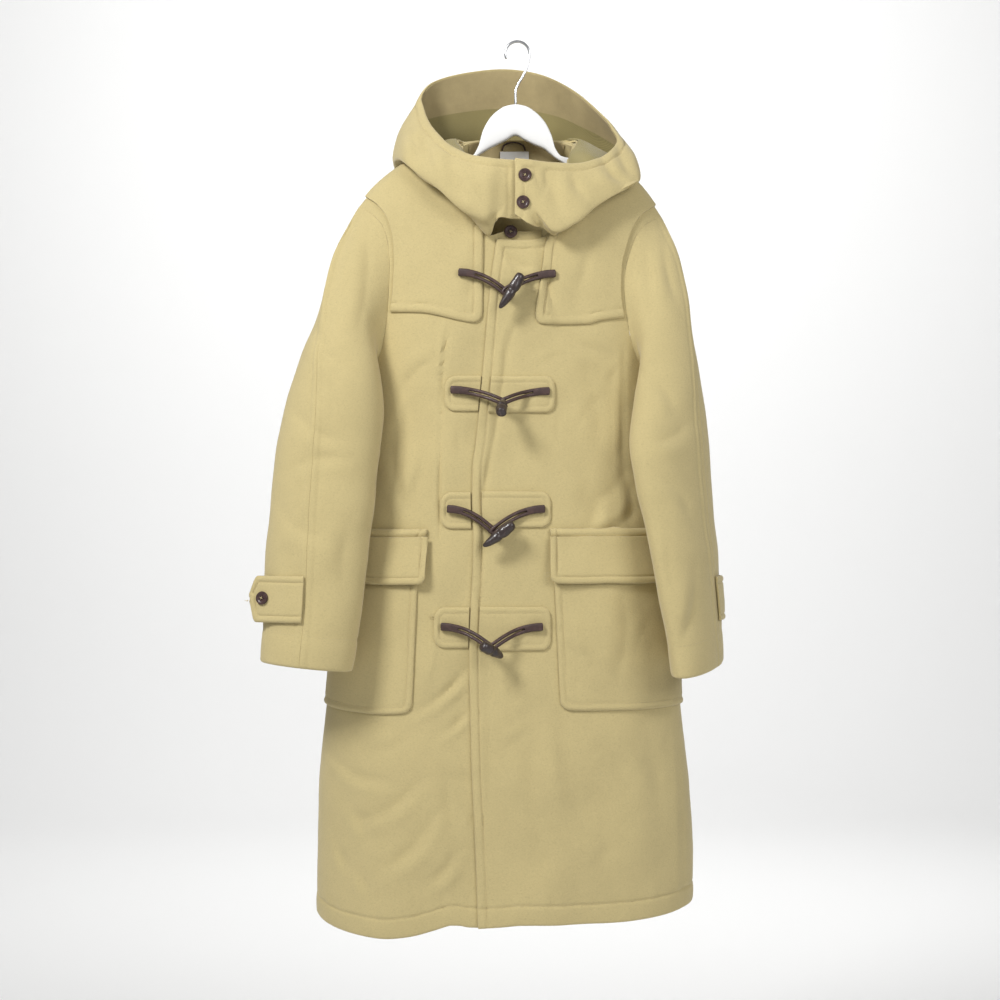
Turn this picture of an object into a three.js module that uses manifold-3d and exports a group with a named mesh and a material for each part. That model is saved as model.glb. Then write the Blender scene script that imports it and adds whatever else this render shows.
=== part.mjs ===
// A long hooded duffle coat on a hanger, in millimetres, +Z up.
// The origin is the inside top of the hanger's hook. The coat's front faces -Y, and its middle lies near
// x = 0, so left and right here are those of someone who looks at the front.
import * as THREE from 'three';
import Module from 'manifold-3d';

const wasm = await Module();
wasm.setup();

// Cloth and seams
const WOOL = 3; // wall of the heavy wool cloth
const LINING = 1; // wall of the lining and facings
const SEAM = 0.3; // gap between pieces that are sewn edge to edge
const LAY = 0.7; // height of a laid-on piece over the cloth beneath it
const UNDERLAP = 62; // the left front runs on this far beneath the right one
const LAP_STEP = 4.2; // depth of the left front beneath the right one
const LAP_EASE = 45; // the left front comes back to the surface over this width

// Fastenings
const CORD = 2.4; // radius of the leather cord
const TOGGLE_WIDE = 6.6; // largest radius
const BUTTON = 9; // radius
const BUTTON_THICK = 3;

// Hanger
const WIRE = 1.9; // radius of the hook's wire
const HOOK_RADIUS = 17; // of the bend, at the middle of the wire

const COLOURS = {
  wool: [0xc9a878, 0.95, 0],
  facing: [0xb79a74, 0.95, 0],
  lining: [0x9d8f58, 0.8, 0],
  leather: [0x3e2a26, 0.55, 0],
  horn: [0x35292a, 0.4, 0],
  button: [0x3a2626, 0.45, 0],
  label: [0xf1efe8, 0.85, 0],
  hanger: [0xf4f4f2, 0.4, 0],
  wire: [0xb9bcc0, 0.2, 1],
};

function table(columns, ...rows) {
  return rows.map((row) => Object.fromEntries(columns.map((name, k) => [name, row[k]])));
}

// A smooth curve of one column over another, with no overshoot between rows
function curve(rows, key, name) {
  const slopes = rows.map((row, k) => {
    const before = rows[Math.max(k - 1, 0)];
    const after = rows[Math.min(k + 1, rows.length - 1)];
    const steps = [[before, row], [row, after]].filter(([a, b]) => a !== b);
    const rates = steps.map(([a, b]) => (b[name] - a[name]) / (b[key] - a[key]));
    if (rates.length === 1) return rates[0];
    return rates[0] * rates[1] <= 0 ? 0 : (2 * rates[0] * rates[1]) / (rates[0] + rates[1]);
  });
  return (at) => {
    let k = 0;
    while (k < rows.length - 2 && (at - rows[k + 1][key]) * (rows[1][key] - rows[0][key]) > 0) k += 1;
    const a = rows[k];
    const b = rows[k + 1];
    const span = b[key] - a[key];
    const t = THREE.MathUtils.clamp((at - a[key]) / span, 0, 1);
    const rise = b[name] - a[name];
    return a[name] + span * slopes[k] * t * (1 - t) ** 2
      + rise * t * t * (3 - 2 * t) - span * slopes[k + 1] * t * t * (1 - t);
  };
}

function mix(a, b, t) {
  return a + (b - a) * t;
}

function ease(t) {
  const u = THREE.MathUtils.clamp(t, 0, 1);
  return u * u * (3 - 2 * u);
}

function range(count, f) {
  return Array.from({ length: count }, (_, k) => f(k));
}

// Body of the coat: sections at heights z, with the places of both sides, and how far the front and back
// stand out from the line of the side seams
const SECTIONS = table(
  ['z', 'left', 'right', 'front', 'back'],
  [-60, -222, 204, 50, 46],
  [-231, -224, 206, 56, 52],
  [-340, -222, 203, 62, 60],
  [-476, -215, 194, 68, 64],
  [-600, -222, 200, 76, 68],
  [-740, -240, 213, 84, 70],
  [-840, -255, 221, 88, 72],
  [-940, -268, 230, 91, 74],
  [-1040, -277, 241, 95, 76],
  [-1130, -279, 246, 99, 78],
  [-1240, -281, 245, 102, 80],
);
const section = {
  left: curve(SECTIONS, 'z', 'left'),
  right: curve(SECTIONS, 'z', 'right'),
  front: curve(SECTIONS, 'z', 'front'),
  back: curve(SECTIONS, 'z', 'back'),
};
const SIDE_ROUND = 2.3; // 2 is an ellipse, more is fuller at the sides
const RIDGE_REACH = 100; // the front and back part over this depth below the shoulder line

// The line over the shoulders, on which the front and back meet
const RIDGE = table(
  ['x', 'z'],
  [-224, -233], [-200, -205], [-170, -180], [-140, -163], [-100, -150], [-80, -143], [-60, -118],
  [-30, -86], [0, -76], [30, -86], [60, -118], [80, -144], [100, -154], [140, -174], [170, -200],
  [190, -226], [206, -250],
);
const ridge = curve(RIDGE, 'x', 'z');

// Hem: how low the cloth hangs at each place across
const HEM = table(
  ['x', 'z'],
  [-282, -1210], [-262, -1221], [-222, -1229], [-175, -1232], [-113, -1219], [-86, -1212],
  [-53, -1216], [6, -1211], [68, -1212], [170, -1208], [210, -1204], [246, -1196],
);
const hem = curve(HEM, 'x', 'z');

// Edge of the right front, which laps over the left one
const EDGE = table(
  ['z', 'x'],
  [-283, -28], [-338, -36], [-440, -45], [-540, -54], [-620, -62], [-703, -60], [-840, -65],
  [-1000, -62], [-1105, -57], [-1218, -53],
);
const frontEdge = curve(EDGE, 'z', 'x');

// Armholes on the front, from the side seam up to the shoulder
const ARMHOLE = {
  left: table(
    ['x', 'z'],
    [-215, -476], [-202, -464], [-188, -434], [-180, -392], [-177, -352], [-176, -320], [-178, -289],
    [-186, -261], [-202, -242], [-222, -231],
  ),
  right: table(
    ['x', 'z'],
    [194, -476], [178, -464], [161, -434], [151, -392], [147, -352], [149, -322], [156, -296],
    [166, -272], [180, -256], [202, -244],
  ),
};
const BACK_WIDER = 9; // the back armholes lie this much further out

// Neck line, front and back
const NECK_FRONT = table(
  ['x', 'z'],
  [0, -284], [30, -282], [46, -268], [60, -238], [71, -200], [78, -165], [80, -143.5],
);
const NECK_BACK = table(['x', 'z'], [0, -131], [34, -131], [56, -134], [70, -138], [80, -143.5]);
const neckFront = curve(NECK_FRONT, 'x', 'z');
const neckBack = curve(NECK_BACK, 'x', 'z');
const NECK_X = 80;
const UNDER_RISE = 12; // the left front's neck edge stands this much higher where it runs beneath the right
const UNDER_RISE_X = [-40, -14]; // and falls back to the neck line between these

// Largest folds of the skirt and chest: soft ridges (+) and troughs (-) along a line
const FOLDS = table(
  ['side', 'x0', 'z0', 'x1', 'z1', 'wide', 'deep'],
  [-1, -190, -1250, -160, -1010, 62, 11],
  [-1, -110, -940, -60, -1130, 44, -5],
  [-1, 30, -1240, 64, -930, 50, 6],
  [-1, 150, -1230, 128, -980, 52, 7],
  [-1, 92, -1220, 96, -1060, 40, -6],
  [-1, 150, -700, 110, -900, 46, 6],
  [1, -150, -1240, -110, -900, 60, 11],
  [1, 10, -1240, 0, -860, 56, -10],
  [1, 140, -1240, 100, -900, 60, 11],
);

function foldDepth(side, x, z) {
  let sum = 0;
  for (const fold of FOLDS) {
    if (fold.side !== side) continue;
    const dx = fold.x1 - fold.x0;
    const dz = fold.z1 - fold.z0;
    const along = ((x - fold.x0) * dx + (z - fold.z0) * dz) / (dx * dx + dz * dz);
    const t = THREE.MathUtils.clamp(along, 0, 1);
    const away = Math.hypot(x - fold.x0 - dx * t, z - fold.z0 - dz * t) / fold.wide;
    sum += fold.deep * Math.exp(-away * away) * (1 - 0.55 * t);
  }
  return sum;
}

// Point of the coat's outer surface. side is -1 for the front and 1 for the back
function bodyPoint(side, x, z, inward = 0) {
  const left = section.left(z);
  const right = section.right(z);
  const across = THREE.MathUtils.clamp((2 * x - left - right) / (right - left), -1, 1);
  const round = (1 - Math.abs(across) ** SIDE_ROUND) ** (1 / SIDE_ROUND);
  const swell = Math.sqrt(1 - Math.exp(-Math.max(ridge(x) - z, 0) / RIDGE_REACH));
  const full = (side < 0 ? section.front(z) : section.back(z)) * round * swell;
  const y = SEAM / 2 + full + foldDepth(side, x, z) * round - inward;
  return new THREE.Vector3(x, side * Math.max(y, SEAM / 2), z);
}

// Grids are rows of points. A patch fills the space between four edges given in x and z. Columns lie across
// it as they do on its lowest and highest rows, and the bends of those rows fade out over the height
const FADE = 2;
function patch(bottom, top, inner, outer) {
  const rows = inner.length;
  const columns = bottom.length;
  const share = (row, j) => (row[j][0] - row[0][0]) / (row[columns - 1][0] - row[0][0]);
  return range(rows, (i) => range(columns, (j) => {
    const v = i / (rows - 1);
    const across = mix(share(bottom, j), share(top, j), v);
    const bend = (row) => row[j][1] - mix(row[0][1], row[columns - 1][1], share(row, j));
    const x = mix(inner[i][0], outer[i][0], across);
    const z = mix(inner[i][1], outer[i][1], across);
    return [x, z + (1 - v) ** FADE * bend(bottom) + v ** FADE * bend(top)];
  }));
}

function gridNormals(grid, closed) {
  const rows = grid.length;
  const columns = grid[0].length;
  return grid.map((row, i) => row.map((point, j) => {
    const above = grid[Math.min(i + 1, rows - 1)][j];
    const below = grid[Math.max(i - 1, 0)][j];
    const after = closed ? row[(j + 1) % columns] : row[Math.min(j + 1, columns - 1)];
    const before = closed ? row[(j + columns - 1) % columns] : row[Math.max(j - 1, 0)];
    const normal = after.clone().sub(before).cross(above.clone().sub(below));
    return normal.normalize();
  }));
}

function offsetGrid(grid, normals, distance) {
  return grid.map((row, i) => row.map((point, j) => point.clone().addScaledVector(normals[i][j], distance)));
}

// A closed wall between two grids of points that match
function wall(outer, inner, closed = false) {
  const rows = outer.length;
  const columns = outer[0].length;
  const points = [...outer.flat(), ...inner.flat()];
  const triangles = [];
  const shift = rows * columns;
  const quad = (a, b, c, d) => triangles.push([a, b, c], [a, c, d]);
  const at = (i, j) => i * columns + (j % columns);
  const spans = closed ? columns : columns - 1;
  for (let i = 0; i < rows - 1; i += 1) {
    for (let j = 0; j < spans; j += 1) {
      quad(at(i, j), at(i, j + 1), at(i + 1, j + 1), at(i + 1, j));
      quad(at(i, j) + shift, at(i + 1, j) + shift, at(i + 1, j + 1) + shift, at(i, j + 1) + shift);
    }
  }
  for (let j = 0; j < spans; j += 1) {
    quad(at(0, j) + shift, at(0, j + 1) + shift, at(0, j + 1), at(0, j));
    quad(at(rows - 1, j), at(rows - 1, j + 1), at(rows - 1, j + 1) + shift, at(rows - 1, j) + shift);
  }
  for (let i = 0; i < rows - 1 && !closed; i += 1) {
    quad(at(i, 0), at(i + 1, 0), at(i + 1, 0) + shift, at(i, 0) + shift);
    const last = columns - 1;
    quad(at(i, last) + shift, at(i + 1, last) + shift, at(i + 1, last), at(i, last));
  }
  return solid(points, triangles);
}

// A closed body of stacked rings, with flat ends
function rod(rings) {
  const count = rings[0].length;
  const points = rings.flat();
  const triangles = [];
  for (let i = 0; i < rings.length - 1; i += 1) {
    for (let j = 0; j < count; j += 1) {
      const next = (j + 1) % count;
      triangles.push([i * count + j, i * count + next, (i + 1) * count + next]);
      triangles.push([i * count + j, (i + 1) * count + next, (i + 1) * count + j]);
    }
  }
  const last = (rings.length - 1) * count;
  for (let j = 1; j < count - 1; j += 1) {
    triangles.push([0, j + 1, j], [last, last + j, last + j + 1]);
  }
  return solid(points, triangles);
}

function solid(points, triangles) {
  let volume = 0;
  for (const [a, b, c] of triangles) {
    volume += points[a].dot(points[b].clone().cross(points[c]));
  }
  const faces = volume > 0 ? triangles : triangles.map(([a, b, c]) => [a, c, b]);
  const geometry = new THREE.BufferGeometry();
  const flat = points.flatMap((point) => point.toArray());
  geometry.setAttribute('position', new THREE.Float32BufferAttribute(flat, 3));
  geometry.setIndex(faces.flat());
  geometry.computeVertexNormals();
  return geometry;
}

function closedBody(geometry) {
  const mesh = new wasm.Mesh({
    numProp: 3,
    vertProperties: geometry.attributes.position.array,
    triVerts: Uint32Array.from(geometry.index.array),
  });
  mesh.merge();
  return new wasm.Manifold(mesh);
}

// Trims from one wall whatever comes closer than a seam's gap to the others, where they would meet
const TRIM_REACH = 3;
const FINEST = 0.15; // details smaller than this are smoothed away after a trim
function trimmedBy(geometry, others) {
  let body = closedBody(geometry);
  let cuts = 0;
  for (const other of others) {
    const blade = closedBody(other);
    const both = body.intersect(blade);
    if (both.isEmpty()) continue;
    const { min, max } = both.boundingBox();
    const size = max.map((value, k) => value - min[k] + 2 * TRIM_REACH);
    const middle = max.map((value, k) => (value + min[k]) / 2);
    const around = closedBody(new THREE.BoxGeometry(...size)).translate(middle);
    const grain = closedBody(new THREE.BoxGeometry(2 * SEAM, 2 * SEAM, 2 * SEAM));
    body = body.subtract(blade.intersect(around).minkowskiSum(grain));
    cuts += 1;
  }
  if (cuts === 0) return geometry;
  const [largest] = body.simplify(FINEST).decompose().sort((a, b) => b.volume() - a.volume());
  const mesh = largest.getMesh();
  const result = new THREE.BufferGeometry();
  result.setAttribute('position', new THREE.Float32BufferAttribute(mesh.vertProperties, mesh.numProp));
  result.setIndex([...mesh.triVerts]);
  result.computeVertexNormals();
  return result;
}

const group = new THREE.Group();

function add(name, finish, geometry) {
  const [color, roughness, metalness] = COLOURS[finish];
  const mesh = new THREE.Mesh(geometry, new THREE.MeshStandardMaterial({ color, roughness, metalness }));
  mesh.name = name;
  group.add(mesh);
  return mesh;
}

// Panels. Rows run from the hem to the armhole's top, and columns from the front edge to the side
const ROW_Z = [-1215, -1165, -1112, -1060, -1010, -966, -922, -880, -838, -796, -754, -722, -690, -640,
  -598, -556, -515, -476];
const SIDE_ROWS = ROW_Z.length;
const POCKET_ROWS = [6, 12];
const FLAP_ROWS = [10, 12];
const YOKE_ROW = SIDE_ROWS + 2;

function armholePoint(hand, side, k) {
  const row = ARMHOLE[hand][k];
  const last = ARMHOLE[hand].length - 1;
  const out = side > 0 ? BACK_WIDER * Math.sin((Math.PI * k) / last) : 0;
  return [row.x + Math.sign(row.x) * out, row.z];
}

function outerEdge(hand, side) {
  const lower = ROW_Z.slice(0, -1).map((z, i) => {
    const x = hand === 'left' ? section.left(z) : section.right(z);
    return [x, i === 0 ? hem(x) : z];
  });
  return [...lower, ...ARMHOLE[hand].map((row, k) => armholePoint(hand, side, k))];
}

function innerHeights(top) {
  const upper = ARMHOLE.left.length - 1;
  const z = ROW_Z.slice();
  for (let k = 1; k <= upper; k += 1) {
    z.push(mix(ROW_Z[SIDE_ROWS - 1], top, (k / upper) ** 0.9));
  }
  return z;
}

// Across a front: share of the way from the inner edge to the side, in columns
const FRONT_COLUMNS = 14;
const SHOULDER_COLUMN = 8;
const SIDE_TURN = 1.35; // radians: columns come closer together towards the side
const NECK_COLUMNS_X = {
  left: [34, 10, -14, -38, -54, -65, -72, -77, -80],
  right: [-28, 2, 28, 46, 58, 67, 73, 77.5, 80],
  back: [-80, -70, -50, -25, 0, 25, 50, 70, 80],
};

function frontFlat(hand) {
  const sign = hand === 'left' ? -1 : 1;
  const under = hand === 'left' ? UNDERLAP : 0;
  const neckZ = (x) => {
    const rise = hand === 'left' ? (x - UNDER_RISE_X[0]) / (UNDER_RISE_X[1] - UNDER_RISE_X[0]) : 0;
    return neckFront(Math.abs(x)) + UNDER_RISE * ease(rise);
  };
  const innerTopZ = neckZ(NECK_COLUMNS_X[hand][0]);
  const inner = innerHeights(innerTopZ).map((z) => [frontEdge(z) + under, z]);
  inner[0][1] = hem(inner[0][0]);
  const outer = outerEdge(hand, -1);
  const shoulder = outer[outer.length - 1];
  const top = range(FRONT_COLUMNS + 1, (j) => {
    if (j <= SHOULDER_COLUMN) {
      const x = NECK_COLUMNS_X[hand][j];
      return [x, neckZ(x)];
    }
    const t = (j - SHOULDER_COLUMN) / (FRONT_COLUMNS - SHOULDER_COLUMN);
    const x = mix(sign * NECK_X, shoulder[0], t);
    return [x, j === FRONT_COLUMNS ? shoulder[1] : ridge(x)];
  });
  inner[inner.length - 1] = top[0];
  const across = (j, from, to) => {
    if (j <= SHOULDER_COLUMN) return from + NECK_COLUMNS_X[hand][j] - NECK_COLUMNS_X[hand][0];
    const start = from + NECK_COLUMNS_X[hand][SHOULDER_COLUMN] - NECK_COLUMNS_X[hand][0];
    const t = (j - SHOULDER_COLUMN) / (FRONT_COLUMNS - SHOULDER_COLUMN);
    return mix(start, to, Math.sin(t * SIDE_TURN) / Math.sin(SIDE_TURN));
  };
  const line = (from, to, height) => range(FRONT_COLUMNS + 1, (j) => {
    const x = across(j, from, to);
    return [x, height(x)];
  });
  const armpit = SIDE_ROWS - 1;
  const bottom = line(inner[0][0], outer[0][0], hem);
  const middle = line(inner[armpit][0], outer[armpit][0], () => ROW_Z[armpit]);
  const lower = patch(bottom, middle, inner.slice(0, SIDE_ROWS), outer.slice(0, SIDE_ROWS));
  const upper = patch(middle, top, inner.slice(armpit), outer.slice(armpit));
  return [...lower, ...upper.slice(1)];
}

// Point of a front's outer face. The left front sinks beneath the right one where they lap
function frontPoint(hand, x, z) {
  const over = x - frontEdge(z);
  const sunk = hand === 'left' ? LAP_STEP * ease(1 + over / LAP_EASE) : 0;
  return bodyPoint(-1, x, z, sunk);
}

function frontGrid(hand) {
  return frontFlat(hand).map((row) => row.map(([x, z]) => frontPoint(hand, x, z)));
}

const BACK_SHOULDER = 6; // columns along each shoulder
const BACK_COLUMNS = 2 * BACK_SHOULDER + NECK_COLUMNS_X.back.length - 1;

function backFlat() {
  const left = outerEdge('left', 1);
  const right = outerEdge('right', 1);
  const last = left.length - 1;
  const top = range(BACK_COLUMNS + 1, (j) => {
    const onNeck = j > BACK_SHOULDER && j < BACK_COLUMNS - BACK_SHOULDER;
    if (onNeck) {
      const x = NECK_COLUMNS_X.back[j - BACK_SHOULDER];
      return [x, neckBack(Math.abs(x))];
    }
    const x = j <= BACK_SHOULDER
      ? mix(left[last][0], -NECK_X, j / BACK_SHOULDER)
      : mix(right[last][0], NECK_X, (BACK_COLUMNS - j) / BACK_SHOULDER);
    return [x, Math.abs(x) > NECK_X + 1 ? ridge(x) : neckBack(NECK_X)];
  });
  top[0] = left[last];
  top[BACK_COLUMNS] = right[last];
  const line = (from, to, height) => range(BACK_COLUMNS + 1, (j) => {
    const turn = mix(-SIDE_TURN, SIDE_TURN, j / BACK_COLUMNS);
    const x = mix(from, to, 0.5 + 0.5 * (Math.sin(turn) / Math.sin(SIDE_TURN)));
    return [x, height(x)];
  });
  const armpit = SIDE_ROWS - 1;
  const bottom = line(left[0][0], right[0][0], hem);
  const middle = line(left[armpit][0], right[armpit][0], () => ROW_Z[armpit]);
  const lower = patch(bottom, middle, left.slice(0, SIDE_ROWS), right.slice(0, SIDE_ROWS));
  const upper = patch(middle, top, left.slice(armpit), right.slice(armpit));
  return [...lower, ...upper.slice(1)];
}

// Cloth of one panel. Where it ends at a side or shoulder seam, its wall stays square to the seam
function panelWall(grid, side, thick) {
  const normals = gridNormals(grid, false).map((row, i) => row.map((normal, j) => {
    const facing = normal.y * side < 0 ? normal.negate() : normal;
    if (Math.abs(grid[i][j].y) <= SEAM / 2 + 0.01) {
      facing.y = 0;
      const outward = grid[i][j].x * facing.x < 0 ? -1 : 1;
      facing.set(facing.x * outward, 0, Math.abs(facing.z)).normalize();
    }
    return facing;
  }));
  return { outer: grid, normals, inner: keepSide(offsetGrid(grid, normals, -thick), side) };
}

// Keeps the points of a front or back on their own side of the seams between them
function keepSide(grid, side) {
  return grid.map((row) => row.map((point) => {
    point.y = side * Math.max(side * point.y, SEAM / 2);
    return point;
  }));
}

const panels = {
  left: panelWall(frontGrid('left'), -1, WOOL),
  right: panelWall(frontGrid('right'), -1, WOOL),
  back: panelWall(backFlat().map((row) => row.map(([x, z]) => bodyPoint(1, x, z))), 1, WOOL),
};

add('front_right', 'wool', wall(panels.right.outer, panels.right.inner));
add('front_left', 'wool', wall(panels.left.outer, panels.left.inner));
add('back', 'wool', wall(panels.back.outer, panels.back.inner));

// A piece that lies on a panel: a stretch of the panel's own grid, moved out
function laidOn(panel, rows, columns, lift, thick, shape = (point) => point) {
  const pick = (grid) => grid.slice(rows[0], rows[1] + 1).map((row) => row.slice(columns[0], columns[1] + 1));
  const base = pick(panel.outer);
  const normals = pick(panel.normals);
  const shaped = base.map((row, i) => row.map((point, j) => shape(point, i, j, base)));
  return {
    outer: offsetGrid(shaped, normals, lift + thick),
    normals,
    inner: offsetGrid(shaped, normals, lift),
  };
}

// Moves the points of one edge of a piece towards the next row or column by a share of the way
function trimmed(base, i, j, share) {
  const rows = base.length - 1;
  const columns = base[0].length - 1;
  const point = base[i][j].clone();
  if (share.bottom && i === 0) point.lerp(base[1][j], share.bottom);
  if (share.top && i === rows) point.lerp(base[rows - 1][j], share.top);
  if (share.inner && j === 0) point.lerp(base[i][1], share.inner);
  if (share.outer && j === columns) point.lerp(base[i][columns - 1], share.outer);
  return point;
}

const TOP_ROW = panels.left.outer.length - 1;

// A panel's point and normal where its row crosses a given x
function crossing(panel, i, x) {
  const row = panel.outer[i];
  let j = 0;
  while (j < row.length - 2 && (row[j + 1].x - x) * (row[0].x - x) > 0) j += 1;
  const share = (x - row[j].x) / (row[j + 1].x - row[j].x);
  return {
    point: row[j].clone().lerp(row[j + 1], share),
    normal: panel.normals[i][j].clone().lerp(panel.normals[i][j + 1], share).normalize(),
    after: j + 1,
  };
}

// A piece on a front panel, from a straight inner edge out to the panel's side. Its inner edge runs from
// x = innerLow on its lowest row to x = innerHigh on its highest
function frontPiece(panel, rows, innerLow, innerHigh, lastColumn, outerTrim, lift) {
  const starts = range(rows[1] - rows[0] + 1, (k) => {
    const x = mix(innerLow, innerHigh, k / (rows[1] - rows[0]));
    return crossing(panel, rows[0] + k, x);
  });
  const first = Math.max(...starts.map((start) => start.after));
  const points = [];
  const normals = [];
  starts.forEach((start, k) => {
    const i = rows[0] + k;
    const row = panel.outer[i].slice(first, lastColumn + 1);
    const last = row.length - 1;
    row[last] = row[last].clone().lerp(row[last - 1], outerTrim);
    points.push([start.point, ...row]);
    normals.push([start.normal, ...panel.normals[i].slice(first, lastColumn + 1)]);
  });
  return {
    outer: offsetGrid(points, normals, lift + WOOL),
    normals,
    inner: offsetGrid(points, normals, lift),
  };
}

// Storm yokes over the shoulders, just short of the armholes, and the back yoke that meets them
const YOKE_INNER = { right: [20, 46], left: [-46, -47] };
const YOKE_TRIM = 0.5;
const yokes = [];
for (const hand of ['right', 'left']) {
  const rows = [YOKE_ROW, TOP_ROW];
  const yoke = frontPiece(panels[hand], rows, ...YOKE_INNER[hand], FRONT_COLUMNS, YOKE_TRIM, LAY);
  yokes.push(wall(keepSide(yoke.outer, -1), keepSide(yoke.inner, -1)));
  add(`yoke_front_${hand}`, 'wool', yokes.at(-1));
}
const backYoke = laidOn(
  panels.back, [YOKE_ROW, TOP_ROW], [0, BACK_COLUMNS], LAY, WOOL,
  (point, i, j, base) => trimmed(base, i, j, { inner: YOKE_TRIM, outer: YOKE_TRIM }),
);
yokes.push(wall(keepSide(backYoke.outer, 1), keepSide(backYoke.inner, 1)));
add('yoke_back', 'wool', yokes.at(-1));

// Patch pockets out to the side seams, and their flaps
const POCKET_INNER = { right: [58, 46], left: [-143, -131] };
const FLAP_INNER = { right: [44, 44], left: [-123, -121] };
for (const hand of ['right', 'left']) {
  const pocket = frontPiece(panels[hand], POCKET_ROWS, ...POCKET_INNER[hand], FRONT_COLUMNS, 0.06, LAY);
  add(`pocket_${hand}`, 'wool', wall(keepSide(pocket.outer, -1), keepSide(pocket.inner, -1)));
  const lift = 2 * LAY + WOOL;
  const flap = frontPiece(panels[hand], FLAP_ROWS, ...FLAP_INNER[hand], FRONT_COLUMNS - 1, 0.2, lift);
  add(`pocket_flap_${hand}`, 'wool', wall(flap.outer, flap.inner));
}

// Sleeves: rings given by their outermost and innermost points. deep is half the width across those,
// seam the turn of the overarm seam from the outermost point to the front, in degrees, and free how far
// the ring has left the armhole's shape
const SLEEVE_COLUMNS = ['outX', 'outY', 'outZ', 'inX', 'inY', 'inZ', 'deep', 'seam', 'free'];
const SLEEVES = {
  left: table(
    SLEEVE_COLUMNS,
    [-248, -14, -300, -174, -60, -440, 54, 30, 0.45],
    [-282, -30, -388, -178, -82, -512, 50, 62, 0.8],
    [-310, -52, -488, -187, -86, -572, 44, 80, 1],
    [-330, -66, -592, -195, -92, -640, 42, 85, 1],
    [-339, -80, -690, -200, -98, -712, 40, 86, 1],
    [-343, -90, -770, -209, -102, -786, 38, 87, 1],
    [-346, -98, -856, -222, -106, -869, 36, 87, 1],
  ),
  right: table(
    SLEEVE_COLUMNS,
    [222, -8, -318, 148, -66, -440, 44, 25, 0.45],
    [240, -18, -410, 153, -90, -520, 38, 50, 0.8],
    [253, -28, -505, 156, -112, -585, 32, 62, 1],
    [262, -30, -600, 169, -118, -650, 31, 66, 1],
    [268, -30, -690, 183, -126, -712, 30, 70, 1],
    [274, -28, -770, 198, -132, -786, 29, 73, 1],
    [273, -26, -856, 213, -136, -876, 28, 75, 1],
  ),
};
const SLEEVE_HALF = ARMHOLE.left.length; // columns in each half
const SLEEVE_RINGS = [0, 0.3, 0.6, 1, 1.5, 2, 2.6, 3.4, 4.2, 5.1, 6]; // rings' places in the table
const SLEEVE_CLEAR = 9; // the sleeves hang this far off the body

// The armhole's edge: both halves of the sleeve start from the panels' own points, a seam's gap further
function armholeEdge(hand) {
  const edge = (panel, i, last) => {
    const before = last === 0 ? 1 : last - 1;
    const away = panel.outer[i][last].clone().sub(panel.outer[i][before]).normalize();
    return {
      outer: panel.outer[i][last].clone().addScaledVector(away, SEAM),
      inner: panel.inner[i][last].clone().addScaledVector(away, SEAM),
    };
  };
  const backLast = hand === 'left' ? 0 : BACK_COLUMNS;
  const front = range(SLEEVE_HALF, (k) => edge(panels[hand], SIDE_ROWS - 1 + k, FRONT_COLUMNS));
  const back = range(SLEEVE_HALF, (k) => edge(panels.back, TOP_ROW - k, backLast));
  return [...front, ...back];
}

function sleevePoint(row, half, k) {
  const high = new THREE.Vector3(row.outX, row.outY, row.outZ);
  const low = new THREE.Vector3(row.inX, row.inY, row.inZ);
  const centre = high.clone().add(low).multiplyScalar(0.5);
  const along = high.sub(centre);
  const across = new THREE.Vector3(along.y, -along.x, 0).normalize();
  if (across.y > 0) across.negate();
  const seamGap = THREE.MathUtils.radToDeg(SEAM / 2 / row.deep);
  const share = k / (SLEEVE_HALF - 1);
  const angle = THREE.MathUtils.degToRad(half === 0
    ? mix(row.seam + 180 - seamGap, row.seam + seamGap, share)
    : mix(row.seam - seamGap, row.seam - 180 + seamGap, share));
  return centre.addScaledVector(along, Math.cos(angle)).addScaledVector(across, row.deep * Math.sin(angle));
}

function sleeveRows(hand) {
  const numbered = SLEEVES[hand].map((row, index) => ({ ...row, index }));
  const columns = SLEEVE_COLUMNS.map((name) => [name, curve(numbered, 'index', name)]);
  return SLEEVE_RINGS.map((place) => Object.fromEntries(columns.map(([name, f]) => [name, f(place)])));
}

// Moves a sleeve's point out of the body, to the front or back of it
function offBody(point) {
  const front = bodyPoint(-1, point.x, point.z).y - SLEEVE_CLEAR;
  const back = bodyPoint(1, point.x, point.z).y + SLEEVE_CLEAR;
  const left = section.left(point.z) - SLEEVE_CLEAR;
  const right = section.right(point.z) + SLEEVE_CLEAR;
  if (point.x < left || point.x > right || point.y < front || point.y > back) return point;
  const toSide = Math.min(point.x - left, right - point.x);
  const toFace = Math.min(point.y - front, back - point.y);
  if (toSide < toFace) point.x = point.x - left < right - point.x ? left : right;
  else point.y = point.y - front < back - point.y ? front : back;
  return point;
}

// Pieces that meet along two neighbouring columns share one direction there
function joinNormals(normals, a, b) {
  for (const row of normals) {
    const shared = row[a].clone().add(row[b]).normalize();
    row[a] = shared;
    row[b] = shared.clone();
  }
}

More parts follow.
